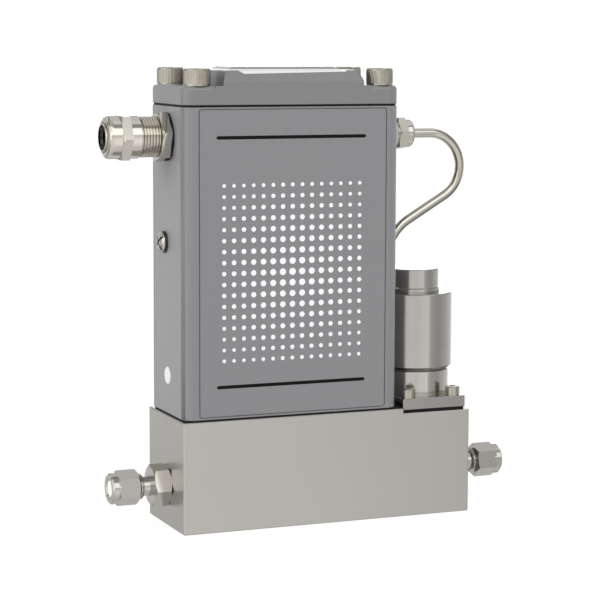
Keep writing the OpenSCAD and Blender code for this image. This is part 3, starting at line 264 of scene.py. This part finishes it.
label_film = finish_material(
    "label_film", linear(126, 126, 128), 0.0, (0.30, 0.34), (2500, 2500, 2500),
    bump=0.01, depth=0.00002, patch=10, drift=0.02, warmth=0.01, edge=0.3)
white_ink = finish_material(
    "white_ink", linear(236, 236, 238), 0.0, (0.4, 0.5), (2500, 2500, 2500), bump=0.05,
    drift=0.02)
black_ink = finish_material(
    "black_ink", linear(10, 10, 12), 0.0, (0.45, 0.5), (2500, 2500, 2500), bump=0.02, drift=0.05,
    Specular_IOR_Level=0.12)
grey_seal = finish_material(
    "grey_seal", linear(96, 94, 92), 0.0, (0.3, 0.4), (1500, 1500, 1500), bump=0.05, drift=0.1)
rubber = finish_material(
    "black_rubber", linear(20, 20, 22), 0.0, (0.5, 0.65), (1500, 1500, 1500), bump=0.2, drift=0.15,
    Specular_IOR_Level=0.2)
# Pale seal of the side plug, and also the painted highlight of the pad band and the slope strips
pale_seal_and_highlight = finish_material(
    "pale_seal_and_highlight", linear(214, 214, 216), 0.0, (0.25, 0.3), (900, 900, 900), bump=0.02, drift=0.02)
seal_gloss = finish_material(
    "glossy_black_seal", linear(12, 11, 14), 0.0, (0.22, 0.3), (900, 900, 900), bump=0.05,
    drift=0.1, Specular_IOR_Level=0.06)
cream_plastic = finish_material(
    "cream_plastic", linear(238, 236, 222), 0.0, (0.3, 0.4), (900, 900, 900), bump=0.03, drift=0.04)
# Darker metal for the earth screw's washer: painted shade for the dark crescent of its shaded edge
washer_painted_shade = finish_material(
    "washer_painted_shade", linear(92, 90, 88), 1.0, (0.3, 0.4), (900, 900, 900), bump=0.05, drift=0.1)
# Near black for the faces of the earth screw's recess: painted shade in the recess
slot_painted_shade = finish_material(
    "screw_slot_painted_shade", linear(34, 33, 32), 1.0, (0.4, 0.5), (900, 900, 900), bump=0.05, drift=0.1)
board_green = finish_material(
    "board_green", linear(34, 96, 62), 0.0, (0.25, 0.4), (900, 900, 900), bump=0.15, drift=0.12)
terminal_green = finish_material(
    "terminal_green", linear(52, 130, 92), 0.0, (0.35, 0.45), (800, 800, 800), bump=0.1)
chip_black = finish_material(
    "chip_black", linear(38, 38, 42), 0.0, (0.45, 0.6), (1500, 1500, 1500), bump=0.1, drift=0.1)
capacitor_sleeve = finish_material(
    "capacitor_sleeve", linear(46, 60, 88), 0.0, (0.3, 0.4), (600, 600, 600), bump=0.1)
copper_wire = finish_material(
    "copper_wire", linear(184, 112, 66), 1.0, (0.25, 0.4), (60, 60, 5200), bump=0.5, depth=0.0001)
magnet_steel = finish_material(
    "magnet_steel", linear(150, 150, 152), 1.0, (0.25, 0.35), (60, 60, 2600), bump=0.1)

NODE_FINISH = {
    steel_satin: ["flow_body", "sensor_base", "sensor_can"],
    steel_plate: ["valve_base"],
    steel_turned_z: ["coil_can", "coil_cap", "valve_stem", "valve_orifice"],
    steel_turned_x: [f"{end}_{part}" for end in ("inlet", "outlet")
                     for part in ("fitting", "nut", "front_ferrule", "back_ferrule")]
    + ["flow_element", "inlet_filter"],
    nickel: ["gland_body", "gland_dome_nut", "gland_locknut", "conduit_gland", "conduit_nut",
             "ground_screw", "sensor_tube"],
    washer_painted_shade: ["ground_washer"],
    nickel_dull: ["cover_screws", "valve_base_screws", "housing_screws", "board_screws",
                  "sensor_screws", "plunger_spring"],
    conduit_steel: ["conduit_tube"],
    paint: ["housing"],
    cover_paint: ["cover"],
    label_film: ["label_plate"],
    # The black of valve_gasket is also painted shade for the slot under the valve's foot plate
    rubber: ["base_gasket", "cover_gasket", "gland_oring", "conduit_oring",
             "inlet_oring", "outlet_oring", "flow_element_oring", "sensor_orings",
             "valve_gasket", "valve_base_oring", "orifice_oring", "plunger_seat"],
    grey_seal: ["can_seal"],
    seal_gloss: ["gland_seal"],
    pale_seal_and_highlight: ["side_plug"],
    board_green: ["circuit_board"],
    terminal_green: ["terminal_block"],
    chip_black: ["chips", "coil_spool"],
    capacitor_sleeve: ["capacitors"],
    copper_wire: ["coil_winding", "sensor_windings"],
    magnet_steel: ["valve_plunger"],
}
for material, names in NODE_FINISH.items():
    for name in names:
        for slot in nodes[name].material_slots:
            slot.material = material
        if not nodes[name].material_slots:
            nodes[name].data.materials.append(material)


# Mesh helpers
def piece_from(mesh_builder, name, material, body="controller"):
    """A new piece from a bmesh, riding on a body."""
    mesh = bpy.data.meshes.new(name)
    mesh_builder.normal_update()
    mesh_builder.to_mesh(mesh)
    mesh_builder.free()
    mesh.materials.append(material)
    made = bpy.data.objects.new(name, mesh)
    scene.collection.objects.link(made)
    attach(made, body)
    return made


# Printed label, sizes in mm
DOT_COLUMNS, DOT_ROWS = 15, 17
DOT_PITCH = (4.775, -5.0)
DOT_START = (-52.5, 159.5)
DOT_CENTRE = (-19.0, 119.5)
DOT_BIG, DOT_SMALL, DOT_FADE = 3.3, 1.7, 1.15
RULE_HEIGHTS, RULE_ENDS, RULE_WIDTH = (181.2, 67.5), (-55.3, 16.6), 1.55
INK = 0.03


def add_disc(bm, x, z, r, face_y, sides=20):
    """A thin printed disc standing just proud of the label."""
    turns = [2 * math.pi * i / sides for i in range(sides)]
    extrude_outline(bm, [(x + r * math.cos(a), z + r * math.sin(a)) for a in turns], face_y)


def extrude_outline(bm, rim, face_y):
    """Closed thin print from an outline that runs anticlockwise, seen from the front."""
    front = [bm.verts.new((px * MM, (face_y - INK) * MM, pz * MM)) for px, pz in rim]
    back = [bm.verts.new((px * MM, face_y * MM, pz * MM)) for px, pz in rim]
    bm.faces.new(front)
    bm.faces.new(back[::-1])
    for i in range(len(rim)):
        j = (i + 1) % len(rim)
        bm.faces.new((front[j], front[i], back[i], back[j]))


def add_label_print():
    """White dots that grow towards the middle of their field, and two black rules."""
    face_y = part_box("label_plate")[0].y / MM
    dots = bmesh.new()
    reach = math.hypot(DOT_CENTRE[0] - DOT_START[0], DOT_CENTRE[1] - DOT_START[1])
    for i in range(DOT_COLUMNS):
        for j in range(DOT_ROWS):
            x, z = DOT_START[0] + i * DOT_PITCH[0], DOT_START[1] + j * DOT_PITCH[1]
            far = math.hypot(x - DOT_CENTRE[0], z - DOT_CENTRE[1]) / reach
            size = DOT_BIG + (DOT_SMALL - DOT_BIG) * min(1.0, far * DOT_FADE)
            add_disc(dots, x, z, size / 2, face_y)
    piece_from(dots, "label_dots", white_ink)
    rules = bmesh.new()
    for z in RULE_HEIGHTS:
        add_rule(rules, RULE_ENDS, z, RULE_WIDTH / 2, face_y)
    piece_from(rules, "label_rules", black_ink)


def add_rule(bm, ends, z, r, face_y, sides=8):
    """A printed bar with round ends."""
    rim = []
    for x, start in ((ends[1], -90), (ends[0], 90)):
        for i in range(sides + 1):
            a = math.radians(start + 180 * i / sides)
            rim.append((x + r * math.cos(a), z + r * math.sin(a)))
    extrude_outline(bm, rim, face_y)


# Small pieces that the solids leave out, and pieces of painted highlight and painted shade, sizes
# in mm
HAIR, SAME_HEIGHT = 0.02, 0.02
PAD_HEIGHT, PAD_BEVEL, PAD_TOP_OVER_RIM = 1.4, 3, 8.3
PAD_HIGHLIGHT_TOP, PAD_HIGHLIGHT_PROUD = 0.9, 0.1
SLOPE_SETBACK, SLOPE_HEIGHT = 2.6, 4.6
STRIP_OVERHANG, STRIP_TAPER, STRIP_DEPTHS = 1.5, 2.6, (1.5, 0.6)
STRIP_PROUD, STRIP_SUNK = 0.06, 0.02
CORNER_RADIUS, CORNER_STEPS, LINE_ANGLES = 5.5, 8, (1, 33)
LINE_PROUD, LINE_SUNK, LINE_END = 0.03, 0.02, 0.3
SHADE_LINER_START, SHADE_LINER_REACH, SHADE_LINER_BACK = 0.4, 6, 0.3
LIP_LAP, LIP_REACH = 0.4, 2.3
CREST_FIRST, CREST_PITCH, CREST_COUNT = 0.75, 1.1, 2
CREST_HALF, CREST_FOOT, CREST_TOP = 0.5, 5.3, 5.95
# Depth below the nut's end, and radius
CAP_PROFILE = ((1.3, HAIR), (1.15, 1.6), (0.8, 2.9), (0.55, 3.9), (1.0, 3.75), (2.0, 3.3),
               (2.2, HAIR))
COVER_HEAD, KNURL_RIBS, KNURL_ENDS = 12.2, 56, (0.9, 1.0)
RIB_OUT, RIB_IN, RIB_BACK = 0.09, 0.03, 0.3
SHANK_RADIUS, HEAD_CHAMFER, HEAD_STEP = 2.4, 0.25, 0.7
DOME_STEPS, DOME_POWER = 12, 0.8
RECESS_TURNS, RECESS_BAR, RECESS_SET = (-38, 52), (1.5, 0.5, 4.4), 0.2
# The pieces at each tube end, and the way their end faces along X
TUBE_ENDS = (("inlet", -1), ("outlet", 1))


def join_loops(bm, loops):
    """Closed skin over loops of as many points each, the last one joined to the first."""
    for k, here in enumerate(loops):
        after = loops[(k + 1) % len(loops)]
        for i in range(len(here)):
            j = (i + 1) % len(here)
            bm.faces.new((here[i], here[j], after[j], after[i]))
    bmesh.ops.recalc_face_normals(bm, faces=bm.faces)


def turned_ring(bm, profile, centre, sides=64):
    """Closed ring from a profile of (along, radius) points in mm, turned about X."""
    rows = []
    for i in range(sides):
        a = 2 * math.pi * i / sides
        rows.append([bm.verts.new(((centre[0] + along) * MM,
                                   (centre[1] + r * math.cos(a)) * MM,
                                   (centre[2] + r * math.sin(a)) * MM)) for along, r in profile])
    join_loops(bm, rows)


def rectangle_frame(bm, x_ends, y_ends, steps):
    """Closed frame round a rectangle, one loop for each (mm outward, height in metres)."""
    join_loops(bm, [[bm.verts.new((x * MM, y * MM, z)) for x, y in (
        (x_ends[0] - out, y_ends[0] - out), (x_ends[1] + out, y_ends[0] - out),
        (x_ends[1] + out, y_ends[1] + out), (x_ends[0] - out, y_ends[1] + out))]
        for out, z in steps])


def upright_wall(bm, centre, radii, heights):
    """Points round an upright axis, one at each height for each radius."""
    wall = []
    for i, r in enumerate(radii):
        a = 2 * math.pi * i / len(radii)
        x, y = (centre[0] + r * math.cos(a)) * MM, (centre[1] + r * math.sin(a)) * MM
        wall.append([bm.verts.new((x, y, z * MM)) for z in heights])
    return wall


def add_bar(bm, centre, half, turn):
    """A bar turned about X through its centre."""
    spin = Matrix.Rotation(turn, 4, "X")
    for vert in bmesh.ops.create_cube(bm, size=2)["verts"]:
        vert.co = (Vector(centre) + spin @ Vector([vert.co[k] * half[k] for k in range(3)])) * MM


def smooth(made):
    for face in made.data.polygons:
        face.use_smooth = True
    return made


def box_mm(name):
    low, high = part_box(name)
    return [v / MM for v in low], [v / MM for v in high]


def pad_ends():
    """Where the flat top of the cover's pad ends along X and along Y."""
    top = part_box("cover")[1].z
    rim = [v.co for v in nodes["cover"].data.vertices if top - v.co.z < SAME_HEIGHT * MM]
    return [(min(v[k] for v in rim) / MM, max(v[k] for v in rim) / MM) for k in range(2)]


def add_pad_highlight():
    """Pale band of painted highlight round the foot of the raised pad on the cover."""
    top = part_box("cover")[1].z
    steps = [(below * PAD_BEVEL / PAD_HEIGHT + proud, top - below * MM) for below, proud in (
        (PAD_HIGHLIGHT_TOP, 0.0), (PAD_HIGHLIGHT_TOP, PAD_HIGHLIGHT_PROUD), (PAD_HEIGHT, PAD_HIGHLIGHT_PROUD), (PAD_HEIGHT, 0.0))]
    bm = bmesh.new()
    rectangle_frame(bm, *pad_ends(), steps)
    piece_from(bm, "pad_painted_highlight", pale_seal_and_highlight)


def add_slope_highlight_strips():
    """Strips of painted highlight along the upper edges of the cover's long slopes, beside the pad.
    """
    x_ends = pad_ends()[0]
    start, end = x_ends[0] - STRIP_OVERHANG, x_ends[1] + STRIP_OVERHANG
    corners = ((start, 0), (end, 0), (end, STRIP_DEPTHS[1]),
               (start + STRIP_TAPER, STRIP_DEPTHS[0]))
    back = box_mm("cover")[1][1]
    edge_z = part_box("cover")[1].z / MM - PAD_HEIGHT
    bm = bmesh.new()

    def on_slope(side, x, down, out):
        """A point so far below the slope's upper edge and so far off its face."""
        lean = SLOPE_SETBACK * (1 - down / SLOPE_HEIGHT)
        return bm.verts.new((x * MM, side * (back - lean + out) * MM,
                             (edge_z - down + out / 3) * MM))

    for side in (-1, 1):
        outer = [on_slope(side, x, down, STRIP_PROUD) for x, down in corners]
        inner = [on_slope(side, x, down, -STRIP_SUNK) for x, down in corners]
        bm.faces.new(outer)
        bm.faces.new(inner[::-1])
        for i in range(len(corners)):
            j = (i + 1) % len(corners)
            bm.faces.new((outer[j], outer[i], inner[i], inner[j]))
    bmesh.ops.recalc_face_normals(bm, faces=bm.faces)
    piece_from(bm, "slope_highlight_strips", pale_seal_and_highlight)


def add_corner_shade_lines():
    """Narrow lines of painted shade where the housing's flat left end turns into its round corners.
    """
    low, high = box_mm("housing")
    start, end = LINE_ANGLES
    bm = bmesh.new()
    for side in (-1, 1):
        x, y = low[0] + CORNER_RADIUS, side * (high[1] - CORNER_RADIUS)
        rings = []
        for i in range(CORNER_STEPS + 1):
            a = math.radians(start + (end - start) * i / CORNER_STEPS)
            rings.append([bm.verts.new((
                (x - r * math.cos(a)) * MM, (y + side * r * math.sin(a)) * MM, z * MM))
                for r in (CORNER_RADIUS - LINE_SUNK, CORNER_RADIUS + LINE_PROUD)
                for z in (low[2] + LINE_END, high[2] - LINE_END)])
        for here, after in zip(rings, rings[1:]):
            for j, k in ((2, 3), (0, 1), (1, 3), (0, 2)):
                bm.faces.new((here[j], here[k], after[k], after[j]))
        for ring in (rings[0], rings[-1]):
            bm.faces.new((ring[0], ring[1], ring[3], ring[2]))
    bmesh.ops.recalc_face_normals(bm, faces=bm.faces)
    smooth(piece_from(bm, "corner_shade_lines", painted_shade_paint))


def add_gland_shade_liner():
    """Black sleeve of painted shade that lines the open bore of the cable gland behind its seal."""
    low, high = box_mm("gland_seal")
    middle = (0, (low[1] + high[1]) / 2, (low[2] + high[2]) / 2)
    bore = min(math.hypot(v.co.y / MM - middle[1], v.co.z / MM - middle[2])
               for v in nodes["gland_seal"].data.vertices)
    start, end = low[0] + SHADE_LINER_START, high[0] + SHADE_LINER_REACH
    outer, inner = bore - HAIR, bore - SHADE_LINER_BACK
    shade_liner = bmesh.new()
    turned_ring(shade_liner, [(start, outer), (end, outer), (end, inner), (start, inner)], middle,
                sides=40)
    piece_from(shade_liner, "gland_shade_liner", rubber)


def add_plunger_spring():
    """The plunger's spring as a smooth piece of its own, copied from the solid, which is hidden."""
    coils = bmesh.new()
    coils.from_mesh(nodes["plunger_spring"].data)
    spring = smooth(piece_from(coils, "valve_spring", nickel_dull))
    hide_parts("plunger_spring")
    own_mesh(spring)


def add_gasket_shade_lip():
    """Thin dark lip of the valve's gasket, out to just inside the edge of the foot plate: painted
    shade for the slot under the plate.
    """
    low, high = box_mm("valve_gasket")
    bottom, top = low[2] * MM, high[2] * MM
    bm = bmesh.new()
    rectangle_frame(bm, (low[0], high[0]), (low[1], high[1]), (
        (-LIP_LAP, bottom), (LIP_REACH, bottom), (LIP_REACH, top), (-LIP_LAP, top)))
    piece_from(bm, "valve_gasket_shade_lip", rubber)


def add_thread_turns():
    """Crests of the tube thread that show between each fitting's neck and its nut."""
    for end, way in TUBE_ENDS:
        low, high = box_mm(f"{end}_nut")
        face = high[0] if way < 0 else low[0]
        axis_z = (low[2] + high[2]) / 2
        bm = bmesh.new()
        for k in range(CREST_COUNT):
            mid = face - way * (CREST_FIRST + CREST_PITCH * k)
            turned_ring(bm, [(mid - CREST_HALF, CREST_FOOT), (mid, CREST_TOP),
                             (mid + CREST_HALF, CREST_FOOT)], (0, 0, axis_z))
        piece_from(bm, f"{end}_thread_turns", steel_turned_x)


def add_bore_caps():
    """Dished cap that closes each open tube nut."""
    for end, way in TUBE_ENDS:
        low, high = box_mm(f"{end}_nut")
        face = low[0] if way < 0 else high[0]
        axis_z = (low[2] + high[2]) / 2
        bm = bmesh.new()
        turned_ring(bm, [(face - way * depth, r) for depth, r in CAP_PROFILE], (0, 0, axis_z))
        smooth(piece_from(bm, f"{end}_bore_cap", cream_plastic))


def add_screw_knurls():
    """Fine upright ribs round the heads of the four cover screws."""
    low, high = box_mm("cover_screws")
    reach = COVER_HEAD / 2
    heights = (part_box("cover")[1].z / MM - PAD_TOP_OVER_RIM + KNURL_ENDS[0],
               high[2] - KNURL_ENDS[1])
    count = 2 * KNURL_RIBS
    ribbed = [reach + (RIB_OUT if i % 2 else -RIB_IN) for i in range(count)]
    plain = [reach - RIB_BACK] * count
    bm = bmesh.new()
    for cx in (low[0] + reach, high[0] - reach):
        for cy in (low[1] + reach, high[1] - reach):
            rim = upright_wall(bm, (cx, cy), ribbed, heights)
            inner = upright_wall(bm, (cx, cy), plain, heights)
            for i in range(count):
                j = (i + 1) % count
                bm.faces.new((rim[i][0], rim[j][0], rim[j][1], rim[i][1]))
                bm.faces.new((inner[j][0], inner[i][0], inner[i][1], inner[j][1]))
                bm.faces.new((rim[i][1], rim[j][1], inner[j][1], inner[i][1]))
                bm.faces.new((rim[j][0], rim[i][0], inner[i][0], inner[j][0]))
    piece_from(bm, "cover_screw_knurls", nickel_dull)


def recess_cutter(centre):
    """Two crossed bars whose faces take the dark painted shade of the recess."""
    bars = bmesh.new()
    for turn in RECESS_TURNS:
        add_bar(bars, centre, RECESS_BAR, math.radians(turn))
    mesh = bpy.data.meshes.new("recess_cutter")
    bars.to_mesh(mesh)
    bars.free()
    mesh.materials.append(nickel)
    mesh.materials.append(slot_painted_shade)
    for face in mesh.polygons:
        face.material_index = 1
    cutter = bpy.data.objects.new("recess_cutter", mesh)
    scene.collection.objects.link(cutter)
    return cutter


def add_ground_screw():
    """Domed earth screw with a deep crossed recess, in place of the plain solid."""
    low, high = box_mm("ground_screw")
    reach = (high[1] - low[1]) / 2
    middle = (0, low[1] + reach, low[2] + reach)
    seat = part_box("ground_washer")[0].x / MM
    dome = seat - HEAD_STEP
    profile = [(high[0], HAIR), (high[0], SHANK_RADIUS), (seat, SHANK_RADIUS),
               (seat, reach - HEAD_CHAMFER), (seat - HEAD_CHAMFER, reach)]
    for i in range(DOME_STEPS + 1):
        a = math.pi / 2 * i / DOME_STEPS
        profile.append((dome - (dome - low[0]) * math.sin(a),
                        max(HAIR, reach * math.cos(a) ** DOME_POWER)))
    head = bmesh.new()
    turned_ring(head, profile, middle, sides=48)
    screw = smooth(piece_from(head, "earth_screw", nickel))
    screw.data.materials.append(slot_painted_shade)
    cutter = recess_cutter((low[0] + RECESS_SET, middle[1], middle[2]))
    cut = screw.modifiers.new("recess", "BOOLEAN")
    cut.operation, cut.solver, cut.object, cut.use_self = "DIFFERENCE", "EXACT", cutter, True
    cut.material_mode = "TRANSFER"
    graph = bpy.context.evaluated_depsgraph_get()
    done = bpy.data.meshes.new_from_object(screw.evaluated_get(graph))
    screw.modifiers.clear()
    screw.data = done
    bpy.data.objects.remove(cutter)
    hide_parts("ground_screw")


# Studio
FLOOR_RADIUS, FLOOR_GREY, FLOOR_GLOW, FLOOR_GLOW_SHARE = 0.6, 0.86, 1.04, 0.9
WHITE = (1, 1, 1, 1)
DIFFUSE_LEVEL = 0.6
# The tent that the gloss sees, as (degrees, level)
TENT_AROUND = [
    (-180, 0.8), (-150, 0.8), (-142, 0.55), (-118, 0.55), (-104, 0.8), (-28, 0.87), (-10, 0.82),
    (7, 0.96), (13, 0.84), (19, 1.04), (23, 1.12), (27, 0.52), (62, 0.43), (94, 0.64),
    (122, 0.78), (180, 0.85)]
# Share of the levels around that holds at a height; the rest is the plain level
AROUND_SHARE = [(-60, 0.1), (-22, 1.0), (22, 1.0), (60, 0.5)]
PLAIN_LEVEL = (0.9, 0.9, 0.9, 1)
TENT_FRONT = [
    (-90, 0.75), (-55, 0.95), (-22, 1.15), (-5, 1.1), (8, 0.8), (30, 0.65), (60, 0.5),
    (90, 0.6)]
TENT_BACK = [
    (-90, 0.75), (-45, 0.9), (-22, 0.45), (-13, 0.85), (-8, 1.15), (-2, 0.86), (14, 0.75),
    (24, 0.55), (40, 0.46), (60, 0.42), (90, 0.42)]
TENT_BLEND = 0.25
SOFT_BOXES = [
    # azimuth from, to, height from, to, soft edge, light added
    (-36, 46, 12, 51, 5, 1.1),
    (-58, 14, 38, 62, 8, 0.9),
    (-66, -28, 2, 34, 9, 0.7),
    (-112, -52, -12, 50, 10, 0.7),
    (-170, -40, 60, 90, 8, 0.25),
    (-178, -124, 24, 46, 6, 0.6),
    (134, 178, -8, 18, 8, 1.6),
    (98, 178, 28, 90, 12, 0.4),
    (46, 112, 48, 84, 10, 0.5),
    (56, 150, -52, -14, 8, -0.4),
]
DARKEST = (0.22, 0.22, 0.22)
LAMP_AIM = (0, 0, 0.1)
LAMPS = [
    # name, azimuth, elevation, distance, size, power
    ("key_light", 24, 42, 1.3, (0.7, 0.5), 9),
    ("left_light", -92, 20, 1.4, (0.8, 0.8), 12),
]


def add_floor():
    """White to the camera but for a faint shadow; the gloss sees the studio's lower half."""
    bm = bmesh.new()
    bmesh.ops.create_circle(bm, cap_ends=True, segments=96, radius=FLOOR_RADIUS)
    mesh = bpy.data.meshes.new("floor")
    bm.to_mesh(mesh)
    bm.free()
    floor = bpy.data.objects.new("floor", mesh)
    scene.collection.objects.link(floor)
    floor.visible_glossy = False
    material = bpy.data.materials.new("floor_white")
    material.use_nodes = True
    tree = material.node_tree
    tree.nodes.clear()
    grey = (FLOOR_GREY, FLOOR_GREY, FLOOR_GREY, 1)
    matt = add_node(tree, "ShaderNodeBsdfDiffuse", [("Color", grey)])
    glow = add_node(tree, "ShaderNodeEmission", [("Color", WHITE), ("Strength", FLOOR_GLOW)])
    path = add_node(tree, "ShaderNodeLightPath")
    share = math_node(tree, "MULTIPLY", path.outputs["Is Camera Ray"], FLOOR_GLOW_SHARE)
    mixed = add_node(tree, "ShaderNodeMixShader", [
        (0, share), (1, matt.outputs[0]), (2, glow.outputs[0])])
    add_node(tree, "ShaderNodeOutputMaterial", [("Surface", mixed.outputs[0])])
    mesh.materials.append(material)


def ramp_node(tree, value, low, high, stops):
    """A level read off a value in degrees, from stops given as (degrees, level)."""
    place = add_node(tree, "ShaderNodeMapRange", [
        ("Value", value), ("From Min", low), ("From Max", high)])
    ramp = add_node(tree, "ShaderNodeValToRGB", [("Fac", place.outputs[0])])
    points = ramp.color_ramp.elements
    while len(points) < len(stops):
        points.new(1.0)
    for point, (degrees, level) in zip(points, stops):
        point.position = (degrees - low) / (high - low)
        point.color = (level, level, level, 1)
    return ramp.outputs["Color"]


def soft_box_group():
    """How bright a soft-edged lamp panel looks in the direction asked for, in degrees."""
    tree, given, out = new_group(
        "soft_box",
        [("Azimuth", FLOAT, 0.0), ("Height", FLOAT, 0.0), ("Left", FLOAT, -10.0),
         ("Right", FLOAT, 10.0), ("Low", FLOAT, 10.0), ("High", FLOAT, 30.0),
         ("Soft", FLOAT, 4.0), ("Level", FLOAT, 1.0)],
        [("Level", FLOAT)])
    ask = given.outputs
    level = ask["Level"]
    for value, low, high in (("Azimuth", "Left", "Right"), ("Height", "Low", "High")):
        for inside in (math_node(tree, "SUBTRACT", ask[value], ask[low]),
                       math_node(tree, "SUBTRACT", ask[high], ask[value])):
            rise = add_node(tree, "ShaderNodeMapRange", [
                ("Value", inside), ("From Min", 0.0), ("From Max", ask["Soft"])],
                interpolation_type="SMOOTHSTEP")
            level = math_node(tree, "MULTIPLY", level, rise.outputs[0])
    tree.links.new(level, out.inputs["Level"])
    return tree


def background(tree, colour, strength):
    return add_node(tree, "ShaderNodeBackground", [
        ("Color", colour), ("Strength", strength)]).outputs[0]


def add_world():
    """White to the camera. The gloss sees a tent of soft levels with lamp panels in it."""
    world = bpy.data.worlds.new("studio")
    scene.world = world
    world.use_nodes = True
    tree = world.node_tree
    tree.nodes.clear()
    way = add_node(tree, "ShaderNodeTexCoord").outputs["Generated"]
    parts = add_node(tree, "ShaderNodeSeparateXYZ", [(0, way)]).outputs
    ahead = math_node(tree, "MULTIPLY", parts["Y"], -1.0)
    azimuth = math_node(tree, "DEGREES", math_node(tree, "ARCTAN2", parts["X"], ahead))
    height = math_node(tree, "DEGREES", math_node(tree, "ARCSINE", parts["Z"]))
    around = ramp_node(tree, azimuth, -180, 180, TENT_AROUND)
    share, front, back = (ramp_node(tree, height, -90, 90, stops)
                          for stops in (AROUND_SHARE, TENT_FRONT, TENT_BACK))
    behind = add_node(tree, "ShaderNodeMapRange", [
        ("Value", parts["Y"]), ("From Min", -TENT_BLEND), ("From Max", TENT_BLEND)]).outputs[0]
    tent = colour_mix(tree, 1.0, colour_mix(tree, behind, front, back),
                      colour_mix(tree, share, PLAIN_LEVEL, around), blend="MULTIPLY")
    glow = 0.0
    soft_box = soft_box_group()
    for box in SOFT_BOXES:
        panel = add_node(tree, "ShaderNodeGroup", [("Azimuth", azimuth), ("Height", height)],
                         node_tree=soft_box)
        for socket, value in zip(("Left", "Right", "Low", "High", "Soft", "Level"), box):
            panel.inputs[socket].default_value = value
        glow = math_node(tree, "ADD", glow, panel.outputs["Level"])
    lit = add_node(tree, "ShaderNodeVectorMath", [(0, tent), (1, glow)], operation="ADD")
    seen = add_node(tree, "ShaderNodeVectorMath", [(0, lit.outputs[0]), (1, DARKEST)],
                    operation="MAXIMUM")
    path = add_node(tree, "ShaderNodeLightPath").outputs
    first = add_node(tree, "ShaderNodeMixShader", [
        (0, path["Is Glossy Ray"]), (1, background(tree, WHITE, DIFFUSE_LEVEL)),
        (2, background(tree, seen.outputs[0], 1.0))])
    second = add_node(tree, "ShaderNodeMixShader", [
        (0, path["Is Camera Ray"]), (1, first.outputs[0]), (2, background(tree, WHITE, 1.0))])
    add_node(tree, "ShaderNodeOutputWorld", [("Surface", second.outputs[0])])


def add_lamp(name, azimuth, elevation, distance, size, power):
    """A softbox aimed at the middle of the object. Azimuth 0 is in front, 90 at the right."""
    data = bpy.data.lights.new(name, "AREA")
    data.shape, data.size, data.size_y = "RECTANGLE", *size
    data.energy = power
    lamp = bpy.data.objects.new(name, data)
    scene.collection.objects.link(lamp)
    a, e = math.radians(azimuth), math.radians(elevation)
    away = Vector((math.sin(a) * math.cos(e), -math.cos(a) * math.cos(e), math.sin(e)))
    lamp.location = Vector(LAMP_AIM) + away * distance
    lamp.rotation_euler = away.to_track_quat("Z", "Y").to_euler()
    lamp.visible_glossy = False


add_camera()
add_label_print()
add_pad_highlight()
add_slope_highlight_strips()
add_corner_shade_lines()
add_gasket_shade_lip()
add_thread_turns()
add_bore_caps()
add_screw_knurls()
add_ground_screw()
add_gland_shade_liner()
add_plunger_spring()
add_floor()
add_world()
for lamp in LAMPS:
    add_lamp(*lamp)
scene.view_settings.view_transform = "Standard"
